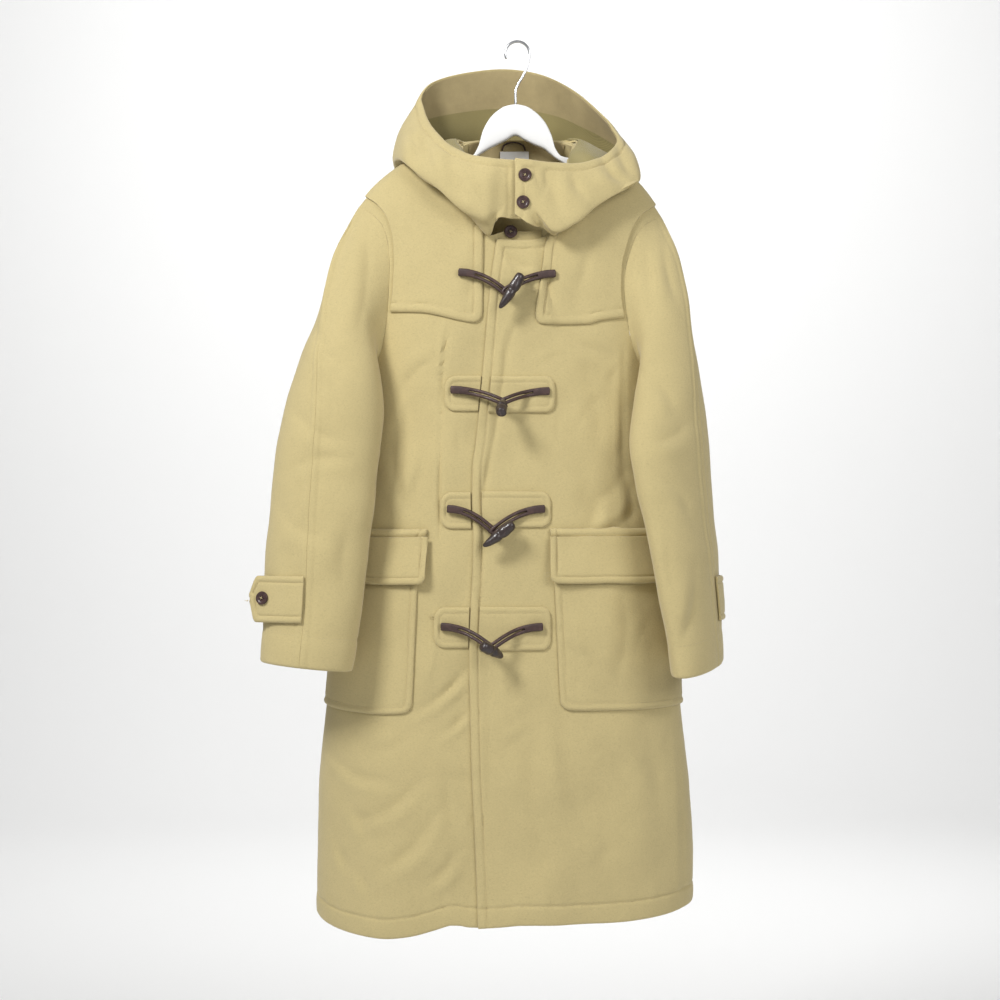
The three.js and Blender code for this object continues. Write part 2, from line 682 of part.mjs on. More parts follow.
const sleeves = {};
for (const hand of ['right', 'left']) {
  const edge = armholeEdge(hand);
  const sign = hand === 'left' ? -1 : 1;
  const away = new THREE.Vector3(sign * 15, -8, -16);
  const rings = sleeveRows(hand).map((row) => edge.map((start, j) => {
    const half = j < SLEEVE_HALF ? 0 : 1;
    const free = sleevePoint(row, half, j % SLEEVE_HALF);
    const held = start.outer.clone().addScaledVector(away, row.free * 2);
    return offBody(held.lerp(free, row.free));
  }));
  const start = edge.map((point) => point.outer);
  const between = start.map((point, j) => offBody(point.clone().lerp(rings[0][j], 0.5)));
  const outer = [start, between, ...rings];
  const normals = gridNormals(outer, true);
  const middle = outer[3][0].clone().add(outer[3][SLEEVE_HALF]).multiplyScalar(0.5);
  if (normals[3][4].dot(outer[3][4].clone().sub(middle)) < 0) normals.flat().forEach((n) => n.negate());
  joinNormals(normals, SLEEVE_HALF - 1, SLEEVE_HALF);
  joinNormals(normals, 2 * SLEEVE_HALF - 1, 0);
  const inner = offsetGrid(outer, normals, -WOOL);
  inner[0] = edge.map((point) => point.inner);
  sleeves[hand] = { outer, normals, inner };
  const half = (grid, from) => grid.map((row) => row.slice(from, from + SLEEVE_HALF));
  const cloth = [panels[hand], panels.back].map((panel) => wall(panel.outer, panel.inner));
  const frontHalf = trimmedBy(wall(half(outer, 0), half(inner, 0)), cloth);
  const backHalf = wall(half(outer, SLEEVE_HALF), half(inner, SLEEVE_HALF));
  add(`sleeve_front_${hand}`, 'wool', frontHalf);
  add(`sleeve_back_${hand}`, 'wool', trimmedBy(backHalf, [...cloth, frontHalf]));
}

// Hood. One row for each section around it, from the end under the throat, over the left side, the back and
// the right side, to the end that laps over. rim is the face edge, fold the lowest outer fold, full how far the
// cloth swells between them, and panel and neck say to which column of a panel it is sewn
const HOOD_COLUMNS = ['rimX', 'rimY', 'rimZ', 'foldX', 'foldY', 'foldZ', 'full', 'panel', 'neck'];
const HOOD = table(
  HOOD_COLUMNS,
  [28, -68, -178, 30, -70, -228, 1, 'loose', 0],
  [4, -70, -177, -4, -73, -230, 2, 'loose', 0],
  [-18, -71, -176, -26, -77, -246, 3, 'loose', 0],
  [-38, -72, -174, -44, -82, -266, 7, 'left', 3],
  [-68, -62, -166, -74, -74, -246, 11, 'left', 4],
  [-94, -49, -150, -104, -69, -220, 13, 'left', 5],
  [-110, -32, -132, -128, -57, -201, 13, 'left', 6],
  [-123, -12, -112, -152, -40, -178, 13, 'left', 7],
  [-132, 10, -88, -167, -6, -165, 12, 'left', 8],
  [-136, 27, -66, -171, 34, -174, 13, 'back', 1],
  [-120, 46, -44, -142, 88, -250, 20, 'back', 2],
  [-75, 57, -29, -82, 106, -318, 24, 'back', 3],
  [-15, 63, -22, -5, 112, -338, 26, 'back', 4],
  [42, 58, -33, 74, 106, -325, 24, 'back', 5],
  [90, 42, -62, 134, 88, -264, 20, 'back', 6],
  [124, 21, -98, 166, 36, -204, 13, 'back', 7],
  [135, 8, -117, 169, 4, -184, 10, 'right', 8],
  [141, -12, -136, 167, -41, -203, 10, 'right', 7],
  [129, -34, -157, 139, -59, -220, 8, 'right', 6],
  [108, -50, -171, 109, -71, -240, 8, 'right', 5],
  [84, -61, -179, 80, -80, -264, 8, 'right', 4],
  [50, -68, -180, 48, -84, -276, 6, 'right', 3],
  [20, -78, -178, 19, -84, -240, 2, 'loose', 1],
  [-3, -79, -176, -3, -83, -228, 1, 'loose', 1],
);
const HOOD_LOW = { under: -257, overEdge: -252, overSlope: -0.66 }; // bottoms of the loose throat ends

// Edge of the coat's neck, on the front or back
function neckEdge(panel, column) {
  const j = panel === 'back' ? column + BACK_SHOULDER : column;
  return { point: panels[panel].outer[TOP_ROW][j], face: panels[panel].normals[TOP_ROW][j] };
}

// Moves a point of the hood clear of the yokes, upward near the shoulder line and else forward or back
const HOOD_CLEAR = LAY + WOOL + 2;
const RIDGE_TOP = 14; // half the width over which the shoulder line counts as a top
function offYoke(point) {
  const side = point.y < 0 ? -1 : 1;
  const surface = bodyPoint(side, point.x, point.z);
  if (point.z > ridge(point.x) + HOOD_CLEAR || side * (point.y - surface.y) > HOOD_CLEAR) return point;
  if (Math.abs(point.y) < RIDGE_TOP) point.z = ridge(point.x) + HOOD_CLEAR;
  else point.y = surface.y + side * HOOD_CLEAR;
  return point;
}

// The points that a section of the hood passes through: rim, swell, fold, beneath the fold, tuck and seam.
// The seam lies on the yoke at the neck's edge
const TUCK = 11; // how far out from the seam the cloth still lies close to the yoke
function hoodSection(row) {
  const rim = new THREE.Vector3(row.rimX, row.rimY, row.rimZ);
  const fold = new THREE.Vector3(row.foldX, row.foldY, row.foldZ);
  const out = new THREE.Vector3(row.foldX, row.foldY * 1.4, 0).normalize();
  const swell = rim.clone().lerp(fold, 0.5).addScaledVector(out, row.full);
  if (row.panel === 'loose') {
    const low = row.neck === 1 ? HOOD_LOW.overEdge + HOOD_LOW.overSlope * (row.foldX + 3) : HOOD_LOW.under;
    const end = new THREE.Vector3(row.foldX - 1, row.foldY + 1, low);
    return [rim, swell, fold, ...[0.33, 0.66].map((t) => fold.clone().lerp(end, t)), end];
  }
  const { point, face } = neckEdge(row.panel, row.neck);
  const seam = point.clone().addScaledVector(face, LAY + WOOL + SEAM);
  const outward = new THREE.Vector3(0, 0, NECK_HOLE_Z[row.panel === 'back' ? 'back' : 'front']).sub(point);
  outward.addScaledVector(face, -outward.dot(face)).normalize();
  const tuck = offYoke(seam.clone().addScaledVector(outward, -TUCK).addScaledVector(face, 1));
  const under = offYoke(offYoke(fold).clone().lerp(tuck, 0.5));
  return [rim, swell, fold, under, tuck, seam];
}

const NECK_HOLE_Z = { front: -150, back: -70 };
// Rows of the hood: the first lie at fixed distances from the rim, as wide as the facing inside it, and the
// rest at places along the section's points, where 2 is the fold
const FACING_WIDE = 55;
const FACING_ROWS = 3;
const HOOD_REST = [2.3, 3, 4, 5];
const FOLD_ROWS = 3; // rows from the facing's edge to the fold
const hoodGrid = range(FACING_ROWS + 1 + FOLD_ROWS + HOOD_REST.length, () => []);
for (const row of HOOD) {
  const points = hoodSection(row);
  const path = new THREE.CatmullRomCurve3(points, false, 'centripetal');
  const steps = path.getLengths(100);
  const placeAt = (distance) => {
    const k = steps.findIndex((length) => length >= distance);
    return k < 1 ? 0 : (k - 1 + (distance - steps[k - 1]) / (steps[k] - steps[k - 1])) / 100;
  };
  const fold = 2 / (points.length - 1);
  const edge = Math.min(placeAt(FACING_WIDE), 0.9 * fold);
  const places = [
    ...range(FACING_ROWS, (k) => placeAt((FACING_WIDE * k) / FACING_ROWS)),
    ...range(FOLD_ROWS + 1, (k) => mix(edge, fold, k / FOLD_ROWS)),
    ...HOOD_REST.map((place) => place / (points.length - 1)),
  ];
  places.forEach((place, i) => hoodGrid[i].push(path.getPoint(place)));
}
const hoodNormals = gridNormals(hoodGrid, false);
const HOOD_BACK = 12; // the section in the middle of the back
if (hoodNormals[2][HOOD_BACK].y < 0) hoodNormals.flat().forEach((normal) => normal.negate());
const hoodInner = offsetGrid(hoodGrid, hoodNormals, -WOOL);
const hoodEnd = hoodGrid.length - 1;
HOOD.forEach((row, j) => {
  if (row.panel === 'loose') return;
  hoodInner[hoodEnd][j] = hoodGrid[hoodEnd][j].clone().addScaledVector(neckEdge(row.panel, row.neck).face, WOOL);
});
add('hood', 'wool', trimmedBy(wall(hoodGrid, hoodInner), yokes));

// Facing and lining of the hood: they lie on its inner face, one behind the other from the rim inward
const LINING_LAY = 0.5; // gap between the hood and what lines it
const FACED = [3, 21]; // first and last sections of the facing: those that are sewn to the neck
const LINED = [8, 16]; // and of the lining: round the back, where the hood is deep
const LINING_LAST = FACING_ROWS + FOLD_ROWS - 1; // the last row it reaches, above the fold
function hoodInside(sections, firstRow, lastRow, firstShare, lastShare) {
  const pick = (grid) => grid.slice(firstRow, lastRow + 1)
    .map((row) => row.slice(sections[0], sections[1] + 1).map((point) => point.clone()));
  const base = pick(hoodInner);
  const normals = pick(hoodNormals);
  const last = base.length - 1;
  base[0].forEach((point, j) => point.lerp(base[1][j], firstShare));
  base[last].forEach((point, j) => point.lerp(base[last - 1][j], lastShare));
  return wall(offsetGrid(base, normals, -LINING_LAY), offsetGrid(base, normals, -LINING_LAY - LINING));
}

add('hood_facing', 'facing', hoodInside(FACED, 0, FACING_ROWS, 0.08, 0.01));
add('hood_lining', 'lining', hoodInside(LINED, FACING_ROWS, LINING_LAST, 0.03, 0));

// A small piece that lies on cloth, over a grid of x and z. place gives the cloth's surface, and side the
// way its outer face looks
function scrap(place, xs, zs, side, lift, thick) {
  const base = zs.map((z, i) => xs.map((x, j) => place(...(Array.isArray(x) ? x[i] : [x, z]), i, j)));
  const normals = gridNormals(base, false).map((row) => row.map((n) => (n.y * side < 0 ? n.negate() : n)));
  return wall(offsetGrid(base, normals, lift + thick), offsetGrid(base, normals, lift));
}

// Inside the back of the neck: facing, blank label and hanging loop
const NECK_FACING_ROWS = [TOP_ROW - 2, TOP_ROW];
const neckFacing = laidOn(
  panels.back, NECK_FACING_ROWS, [BACK_SHOULDER + 1, BACK_COLUMNS - BACK_SHOULDER - 1],
  -WOOL - LAY - LINING, LINING,
);
add('neck_facing', 'facing', wall(neckFacing.outer, neckFacing.inner));
const LABEL_X = [-24, -3, 17];
const LABEL_Z = [-175, -160, -146];
const LABEL_LIFT = -WOOL - 2 * LAY - 2 * LINING - 0.5;
add('neck_label', 'label', scrap((x, z) => bodyPoint(1, x, z), LABEL_X, LABEL_Z, 1, LABEL_LIFT, LINING));

function tube(points, radius, steps, sides) {
  const path = new THREE.CatmullRomCurve3(points, false, 'centripetal');
  const ring = range(sides, (k) => {
    const turn = (2 * Math.PI * k) / sides;
    return new THREE.Vector2(radius * Math.cos(turn), radius * Math.sin(turn));
  });
  return new THREE.ExtrudeGeometry(new THREE.Shape(ring), { steps, extrudePath: path, bevelEnabled: false });
}

const LOOP_RADIUS = 1.2;
const LOOP_STAND = 1.5; // gap between the loop and the facing
const LOOP = table(['x', 'z'], [-21, -146], [-18, -139], [-5, -134.5], [9, -139], [12, -146]);
const loopPoints = LOOP.map(({ x, z }) => {
  const behind = bodyPoint(1, x, z).y - WOOL - LAY - LINING;
  return new THREE.Vector3(x, behind - LOOP_RADIUS - LOOP_STAND, z);
});
add('hanging_loop', 'leather', tube(loopPoints, LOOP_RADIUS, 8, 5));

// Patches under the toggles and their cords, with rounded outer corners
const PATCHES = table(
  ['row', 'hand', 'x0', 'x1', 'z0', 'z1'],
  [2, 'left', -98.6, 0, -519, -471],
  [2, 'right', 0, 51, -521, -472],
  [3, 'left', -104, 0, -679, -630],
  [3, 'right', 0, 45, -677, -629],
  [4, 'left', -112.6, 0, -840, -786],
  [4, 'right', 0, 45, -843, -785],
);
const PATCH_SHARES_X = [0, 0.1, 0.3, 0.55, 0.8, 1]; // columns from the rounded end
const PATCH_SHARES_Z = [0, 0.25, 0.5, 0.75, 1];
const PATCH_ROUND = 12; // corner radius
const PATCH_EDGE = { left: -2, right: 13 }; // where patches stop, from the right front's edge
const PATCH_LIFT = 0.5;
for (const { row, hand, x0, x1, z0, z1 } of PATCHES) {
  const sign = hand === 'left' ? -1 : 1;
  const tip = hand === 'left' ? x0 : x1;
  const place = (shareX, shareZ) => {
    const fromEnd = shareX * Math.abs(tip - frontEdge(mix(z0, z1, 0.5)));
    const squeeze = Math.max(0, 1 - fromEnd / PATCH_ROUND);
    const half = (z1 - z0) / 2 - PATCH_ROUND * (1 - Math.sqrt(1 - squeeze ** 2));
    const z = mix(z0, z1, 0.5) + (2 * shareZ - 1) * half;
    const edge = frontEdge(z) + PATCH_EDGE[hand];
    return frontPoint(hand, mix(tip, edge, shareX), z);
  };
  const base = PATCH_SHARES_Z.map((shareZ) => PATCH_SHARES_X.map((shareX) => place(shareX, shareZ)));
  const normals = gridNormals(base, false).map((line) => line.map((n) => (n.y > 0 ? n.negate() : n)));
  const patchWall = wall(offsetGrid(base, normals, PATCH_LIFT + WOOL), offsetGrid(base, normals, PATCH_LIFT));
  add(`toggle_patch_${hand}_${row}`, 'wool', patchWall);
}

// Toggles and their cords. Bars of doubled cord run from each side to where they meet, the loop of the right
// one over the left one's end, and the toggle lies across both
const FASTENINGS = table(
  ['row', 'leftX', 'leftZ', 'rightX', 'rightZ', 'meetX', 'meetZ', 'leftEnd', 'rightEnd'],
  [1, -79.6, -329, 51, -331, -17, -357, 11, 16.2],
  [2, -90, -490, 42.8, -492, -20, -508, 19.6, 24.8],
  [3, -94.5, -652, 36, -652, -33, -682, 11, 16.2],
  [4, -102.6, -811, 33, -811, -36, -838, 19.6, 24.8],
);
const STRAND = 2.9; // half the distance between a cord's two strands
const CORD_LIFT = 6.7; // a cord's middle lies this far over the front's surface
const CORD_STEPS = 18;
const CORD_SIDES = 6;
const TOGGLES = table(
  ['row', 'bluntX', 'bluntZ', 'bluntUp', 'tipX', 'tipZ', 'tipUp'],
  [1, 6, -334, 24.6, -24, -381, 24.6],
  [2, -22.5, -525, 52, -19, -506, 28],
  [3, -5, -671.5, 23.1, -46, -702.5, 23.1],
  [4, -48, -832.6, 46.3, -20, -850, 22.3],
);

function cordPoint(x, z, up) {
  const surface = bodyPoint(-1, x, z);
  return new THREE.Vector3(x, surface.y - up, z);
}

for (const row of FASTENINGS) {
  for (const hand of ['right', 'left']) {
    const start = hand === 'left' ? [row.leftX, row.leftZ] : [row.rightX, row.rightZ];
    const endUp = hand === 'left' ? row.leftEnd : row.rightEnd;
    const dx = row.meetX - start[0];
    const dz = row.meetZ - start[1];
    const long = Math.hypot(dx, dz);
    const strand = (offset, shares) => shares.map((share) => {
      const x = start[0] + dx * share - (dz / long) * offset;
      const z = start[1] + dz * share * share + (dx / long) * offset;
      return cordPoint(x, z, mix(CORD_LIFT, endUp, ease((share - 0.45) / 0.45)));
    });
    const tip = cordPoint(row.meetX + (dx / long) * STRAND, row.meetZ + (dz / long) * STRAND, endUp);
    const shares = [0, 0.2, 0.45, 0.7, 0.9, 1];
    const points = [...strand(STRAND, shares), tip, ...strand(-STRAND, shares).reverse()];
    add(`toggle_cord_${hand}_${row.row}`, 'leather', tube(points, CORD, CORD_STEPS, CORD_SIDES));
  }
}

const TOGGLE_SHAPE = table(
  ['along', 'wide'],
  [0, 0.45], [0.03, 0.72], [0.12, 0.95], [0.3, 1], [0.5, 0.98], [0.7, 0.82], [0.88, 0.55], [0.97, 0.32], [1, 0.16],
);
const TOGGLE_SIDES = 8;
for (const row of TOGGLES) {
  const blunt = cordPoint(row.bluntX, row.bluntZ, row.bluntUp);
  const tip = cordPoint(row.tipX, row.tipZ, row.tipUp);
  const axis = tip.clone().sub(blunt).normalize();
  const side = axis.clone().cross(new THREE.Vector3(0.2, 1, 0.3)).normalize();
  const up = side.clone().cross(axis);
  add(`toggle_${row.row}`, 'horn', rod(TOGGLE_SHAPE.map(({ along, wide }) => {
    const centre = blunt.clone().lerp(tip, along);
    return range(TOGGLE_SIDES, (k) => {
      const turn = (2 * Math.PI * k) / TOGGLE_SIDES;
      return centre.clone()
        .addScaledVector(side, TOGGLE_WIDE * wide * Math.cos(turn))
        .addScaledVector(up, TOGGLE_WIDE * wide * Math.sin(turn));
    });
  })));
}

// Buttons with four holes. front is the way a button's face looks
const BUTTON_SIDES = 12;
const BUTTON_HOLE = { radius: 1.1, out: 2.4, sides: 5 };
function button(name, centre, front) {
  const circle = (x, y, radius, sides) => range(sides, (k) => {
    const turn = (2 * Math.PI * (k + 0.5)) / sides;
    return new THREE.Vector2(x + radius * Math.cos(turn), y + radius * Math.sin(turn));
  });
  const shape = new THREE.Shape(circle(0, 0, BUTTON, BUTTON_SIDES));
  for (const [x, y] of [[1, 0], [0, 1], [-1, 0], [0, -1]]) {
    const place = [x * BUTTON_HOLE.out, y * BUTTON_HOLE.out];
    shape.holes.push(new THREE.Path(circle(...place, BUTTON_HOLE.radius, BUTTON_HOLE.sides)));
  }
  const geometry = new THREE.ExtrudeGeometry(shape, { depth: BUTTON_THICK, bevelEnabled: false });
  const turn = new THREE.Quaternion().setFromUnitVectors(new THREE.Vector3(0, 0, 1), front.clone().normalize());
  geometry.applyQuaternion(turn);
  geometry.translate(...centre.toArray());
  add(name, 'button', geometry);
}

const THROAT_BUTTONS = table(['x', 'y', 'z'], [10, -82.9, -200], [7.4, -84.2, -237]);
THROAT_BUTTONS.forEach(({ x, y, z }, k) => {
  button(`throat_button_${k + 1}`, new THREE.Vector3(x, y, z), new THREE.Vector3(0, -1, 0));
});
const NECK_BUTTON = { x: -9, z: -272, lift: 0.35 };
const neckButton = frontPoint('left', NECK_BUTTON.x, NECK_BUTTON.z);
neckButton.y -= NECK_BUTTON.lift;
button('neck_button', neckButton, new THREE.Vector3(0, -1, 0.12));

// Cuff tabs: strips that start at the overarm seam, follow the sleeve's back half and then stand off to a point
const TABS = {
  left: { low: -803, high: -742, columns: [0, 1, 2], free: 38, buttonBack: 22 },
  right: { low: -803, high: -744, columns: [0, 1, 2, 3], free: 30, buttonBack: 14 },
};
const TAB_START = 0.08; // share of the first column left bare beside the seam
const TAB_LIFT = 1.1;
const BUTTON_STAND = 1.2; // gap between a cuff's button and its tab
const TAB_POINT = 0.62; // share of the free end that keeps its full height

// The sleeve's surface in one of its columns at a height z
function sleeveAt(sleeve, column, z) {
  const line = sleeve.outer.map((row) => row[column]);
  let i = 1;
  while (i < line.length - 2 && line[i + 1].z > z) i += 1;
  const share = (z - line[i].z) / (line[i + 1].z - line[i].z);
  return {
    point: line[i].clone().lerp(line[i + 1], share),
    normal: sleeve.normals[i][column].clone().lerp(sleeve.normals[i + 1][column], share).normalize(),
  };
}

for (const hand of ['right', 'left']) {
  const tab = TABS[hand];
  const rows = [0, 0.5, 1].map((v) => {
    const z = mix(tab.low, tab.high, v);
    const held = tab.columns.map((k) => sleeveAt(sleeves[hand], SLEEVE_HALF + k, z));
    held[0].point.lerp(held[1].point, TAB_START);
    const last = held.at(-1);
    const along = last.point.clone().sub(held.at(-2).point).normalize();
    const face = along.clone().cross(new THREE.Vector3(0, 0, 1)).normalize();
    if (face.dot(last.normal) < 0) face.negate();
    const middleZ = mix(tab.low, tab.high, 0.5);
    const freePoints = [TAB_POINT, 1].map((share) => {
      const point = last.point.clone().addScaledVector(along, tab.free * share);
      if (share === 1) point.z = mix(point.z, middleZ, 0.8);
      return { point, normal: face };
    });
    return [...held, ...freePoints];
  });
  const place = (lift) => rows.map((row) => row.map(({ point, normal }) => (
    point.clone().addScaledVector(normal, lift))));
  add(`cuff_tab_${hand}`, 'wool', wall(place(TAB_LIFT + WOOL), place(TAB_LIFT)));
  const middle = rows[1];
  const end = middle.at(-1).point;
  const before = middle.at(-2).point;
  const seat = end.clone().lerp(before, tab.buttonBack / end.distanceTo(before));
  const face = middle.at(-1).normal;
  button(`cuff_button_${hand}`, seat.addScaledVector(face, TAB_LIFT + WOOL + BUTTON_STAND), face);
}

// Hanger: sections across it, each from bottom to top
const HANGER = table(
  ['x', 'bottom', 'top', 'half'],
  [-176, -225, -203, 6], [-140, -205, -179, 7], [-110, -193, -167, 7], [-80, -178, -162, 7],
  [-62, -165, -158, 6],
  [-54, -158, -145, 6], [-48, -154, -124, 6.5], [-38, -148, -106, 7], [-28, -143, -96, 7], [-16, -137, -89, 7],
  [-2, -130, -86.5, 7], [12, -137, -89, 7], [24, -143, -96, 7], [38, -149, -108, 7], [48, -156, -122, 6.5],
  [54, -161, -145, 6], [62, -167, -159, 6], [80, -179, -163, 7], [110, -197, -174, 7], [140, -213, -191, 7],
  [176, -245, -225, 6],
);
const HANGER_CORNER = 0.3; // share of a section's height taken by its rounded corners
add('hanger', 'hanger', rod(HANGER.map(({ x, bottom, top, half }) => {
  const rim = HANGER_CORNER * Math.min(top - bottom, 2 * half);
  const at = (y, z) => new THREE.Vector3(x, y, z);
  return [
    at(half - rim, bottom), at(half, bottom + rim), at(half, top - rim), at(half - rim, top),
    at(rim - half, top), at(-half, top - rim), at(-half, bottom + rim), at(rim - half, bottom),
  ];
})));

// Hook: the bend rests on its rod at the origin, and its stem stands on the hanger's top
const BEND_CENTRE = { x: 0.5, z: WIRE - HOOK_RADIUS };
const BEND_TURNS = [205, 180, 155, 130, 108, 90, 72, 50, 25, 0]; // degrees, from the free end over the top
const HOOK_TAIL = table(['x', 'z'], [16.1, -25.4], [14, -33.8], [9.2, -45], [0.6, -60], [-2, -68], [-2, -86.2]);
const bend = BEND_TURNS.map((degrees) => {
  const turn = THREE.MathUtils.degToRad(degrees);
  return new THREE.Vector3(
    BEND_CENTRE.x + HOOK_RADIUS * Math.cos(turn), 0, BEND_CENTRE.z + HOOK_RADIUS * Math.sin(turn),
  );
});
const tail = HOOK_TAIL.map(({ x, z }) => new THREE.Vector3(x, 0, z));
add('hook', 'wire', tube([...bend, ...tail], WIRE, 34, 6));

export default group;
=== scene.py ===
"""Looks of a long hooded duffle coat that hangs closed on a hanger, built around its packed solids.

Shapes are worked out in millimetres, front towards -Y, and turned into metres as a mesh is made. Left and
right are those of someone who looks at the coat's front.
"""
import math

import bpy
import numpy as np
from bpy.props import FloatProperty, FloatVectorProperty, PointerProperty
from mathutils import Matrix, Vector


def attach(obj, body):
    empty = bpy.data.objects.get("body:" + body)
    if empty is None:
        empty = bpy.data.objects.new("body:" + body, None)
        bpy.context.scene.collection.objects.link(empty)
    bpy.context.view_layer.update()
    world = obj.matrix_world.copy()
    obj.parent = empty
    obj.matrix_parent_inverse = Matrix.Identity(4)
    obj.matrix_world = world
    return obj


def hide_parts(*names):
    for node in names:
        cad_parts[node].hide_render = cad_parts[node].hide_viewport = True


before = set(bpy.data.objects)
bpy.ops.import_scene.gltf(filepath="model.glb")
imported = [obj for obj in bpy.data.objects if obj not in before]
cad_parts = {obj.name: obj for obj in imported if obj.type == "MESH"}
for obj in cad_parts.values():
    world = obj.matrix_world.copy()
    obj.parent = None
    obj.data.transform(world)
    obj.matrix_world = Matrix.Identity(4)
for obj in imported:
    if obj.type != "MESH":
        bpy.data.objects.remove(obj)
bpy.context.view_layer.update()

bl_info = {
    "name": "Duffle coat",
    "version": (1, 0, 0),
    "blender": (4, 5, 0),
    "location": "3D View > Sidebar > Duffle coat",
    "description": "Builds a hooded duffle coat on its hanger, piece by piece",
    "category": "Add Mesh",
}

MM = 0.001
WOOL = 3.0  # thickness of the wool
LINING = 1.0
SEAM = 0.3  # gap between two edges that are sewn together
LAY = 0.7  # gap between two layers of cloth
UNDERLAP = 62.0  # how far the left front reaches beneath the right one
LAP_STEP = 4.2  # how far it sinks there
LAP_EASE = 45.0


# Curves and grids

def smooth_line(keys, values):
    """Cubic curve of values over keys, with no overshoot between them."""
    order = np.argsort(keys)
    k, v = np.array(keys, float)[order], np.array(values, float)[order]
    rate = np.diff(v) / np.diff(k)
    slope = np.zeros_like(v)
    slope[0], slope[-1] = rate[0], rate[-1]
    a, b = rate[:-1], rate[1:]
    same = a * b > 0
    slope[1:-1] = np.where(same, 2 * a * b / np.where(same, a + b, 1), 0)

    def at(x):
        x = np.clip(x, k[0], k[-1])
        i = np.clip(np.searchsorted(k, x, side="right") - 1, 0, len(k) - 2)
        span = k[i + 1] - k[i]
        t = (x - k[i]) / span
        rise = v[i + 1] - v[i]
        ends = span * (slope[i] * t * (1 - t) ** 2 - slope[i + 1] * t * t * (1 - t))
        return v[i] + rise * t * t * (3 - 2 * t) + ends

    return at


def line_of(*rows):
    """Smooth curve through rows of key and value."""
    return smooth_line(*zip(*rows))


def mix(a, b, t):
    return a + (b - a) * t


def ease(t):
    """Rises from 0 to 1 with level ends."""
    t = np.clip(t, 0, 1)
    return t * t * (3 - 2 * t)


def bell(t):
    return np.exp(-t * t)


def through(points, at, axis=0):
    """Cubic through evenly numbered points along one axis, read at places between them."""
    p = np.moveaxis(np.asarray(points, float), axis, 0)
    p = np.concatenate([2 * p[:1] - p[1:2], p, 2 * p[-1:] - p[-2:-1]])
    i = np.clip(np.floor(at).astype(int), 0, len(p) - 4)
    t = (np.asarray(at) - i).reshape((-1,) + (1,) * (p.ndim - 1))
    a, b, c, d = p[i], p[i + 1], p[i + 2], p[i + 3]
    out = b + 0.5 * t * (c - a + t * (2 * a - 5 * b + 4 * c - d + t * (3 * (b - c) + d - a)))
    return np.moveaxis(out, 0, axis)


def steady(points, at, axis=0):
    """Like through, but it never overshoots where the steps between points are uneven."""
    p = np.moveaxis(np.asarray(points, float), axis, 0)
    step = np.diff(p, axis=0)
    a, b = step[:-1], step[1:]
    same = a * b > 0
    slope = np.concatenate([step[:1], np.where(same, 2 * a * b / np.where(same, a + b, 1), 0), step[-1:]])
    i = np.clip(np.floor(at).astype(int), 0, len(p) - 2)
    t = (np.asarray(at) - i).reshape((-1,) + (1,) * (p.ndim - 1))
    ends = slope[i] * t * (1 - t) ** 2 - slope[i + 1] * t * t * (1 - t)
    return np.moveaxis(p[i] + step[i] * t * t * (3 - 2 * t) + ends, 0, axis)


def finer(grid, rows, columns):
    """A grid of points read at finer places along its rows and columns."""
    return through(through(grid, rows, 0), columns, 1)


def places(*stretches):
    """Places along a grid: each stretch is its end and how many steps lead to it, from 0."""
    out = [np.zeros(1)]
    start = 0.0
    for end, steps in stretches:
        out.append(np.linspace(start, end, steps + 1)[1:])
        start = end
    return np.concatenate(out)


def unit(v):
    return v / np.maximum(np.linalg.norm(v, axis=-1, keepdims=True), 1e-9)


def normals_of(grid, towards):
    """Directions square to a grid of points. They are turned so that most of them look towards a direction."""
    across = np.gradient(grid, axis=1)
    along = np.gradient(grid, axis=0)
    n = unit(np.cross(across, along))
    towards = np.broadcast_to(np.asarray(towards, float), n.shape)
    return -n if np.sum(n * towards) < 0 else n


def lengths(points, axis=0):
    """Distance run along lines of points, from 0 at their start."""
    step = np.linalg.norm(np.diff(points, axis=axis), axis=-1)
    return np.concatenate([np.zeros_like(np.take(step, [0], axis)), np.cumsum(step, axis)], axis)


def circle(count):
    return np.arange(count) / count * 2 * np.pi


def ring_of(turn, side, up):
    """Directions round a circle, for each pair of square directions side and up."""
    return np.cos(turn)[:, None] * side[..., None, :] + np.sin(turn)[:, None] * up[..., None, :]


def from_edges(grid):
    """Distances over the cloth from each of a grid's four edges."""
    first, low = lengths(grid, 1), lengths(grid, 0)
    return {"inner": first, "outer": first[:, -1:] - first, "bottom": low, "top": low[-1:] - low}


# Body of the coat

# Sections of the body: height, left and right side, and how far front and back stand out
SECTIONS = np.array([
    (-60, -222, 204, 50, 46),
    (-231, -224, 206, 56, 52),
    (-340, -222, 203, 62, 60),
    (-476, -215, 194, 68, 64),
    (-600, -222, 200, 76, 68),
    (-740, -240, 213, 84, 70),
    (-840, -255, 221, 88, 72),
    (-940, -268, 230, 91, 74),
    (-1040, -277, 241, 95, 76),
    (-1130, -279, 246, 99, 78),
    (-1240, -281, 245, 102, 80),
])
section = {name: smooth_line(SECTIONS[:, 0], SECTIONS[:, k + 1])
           for k, name in enumerate(("left", "right", "front", "back"))}
SIDE_ROUND = 2.3
RIDGE_REACH = 100.0


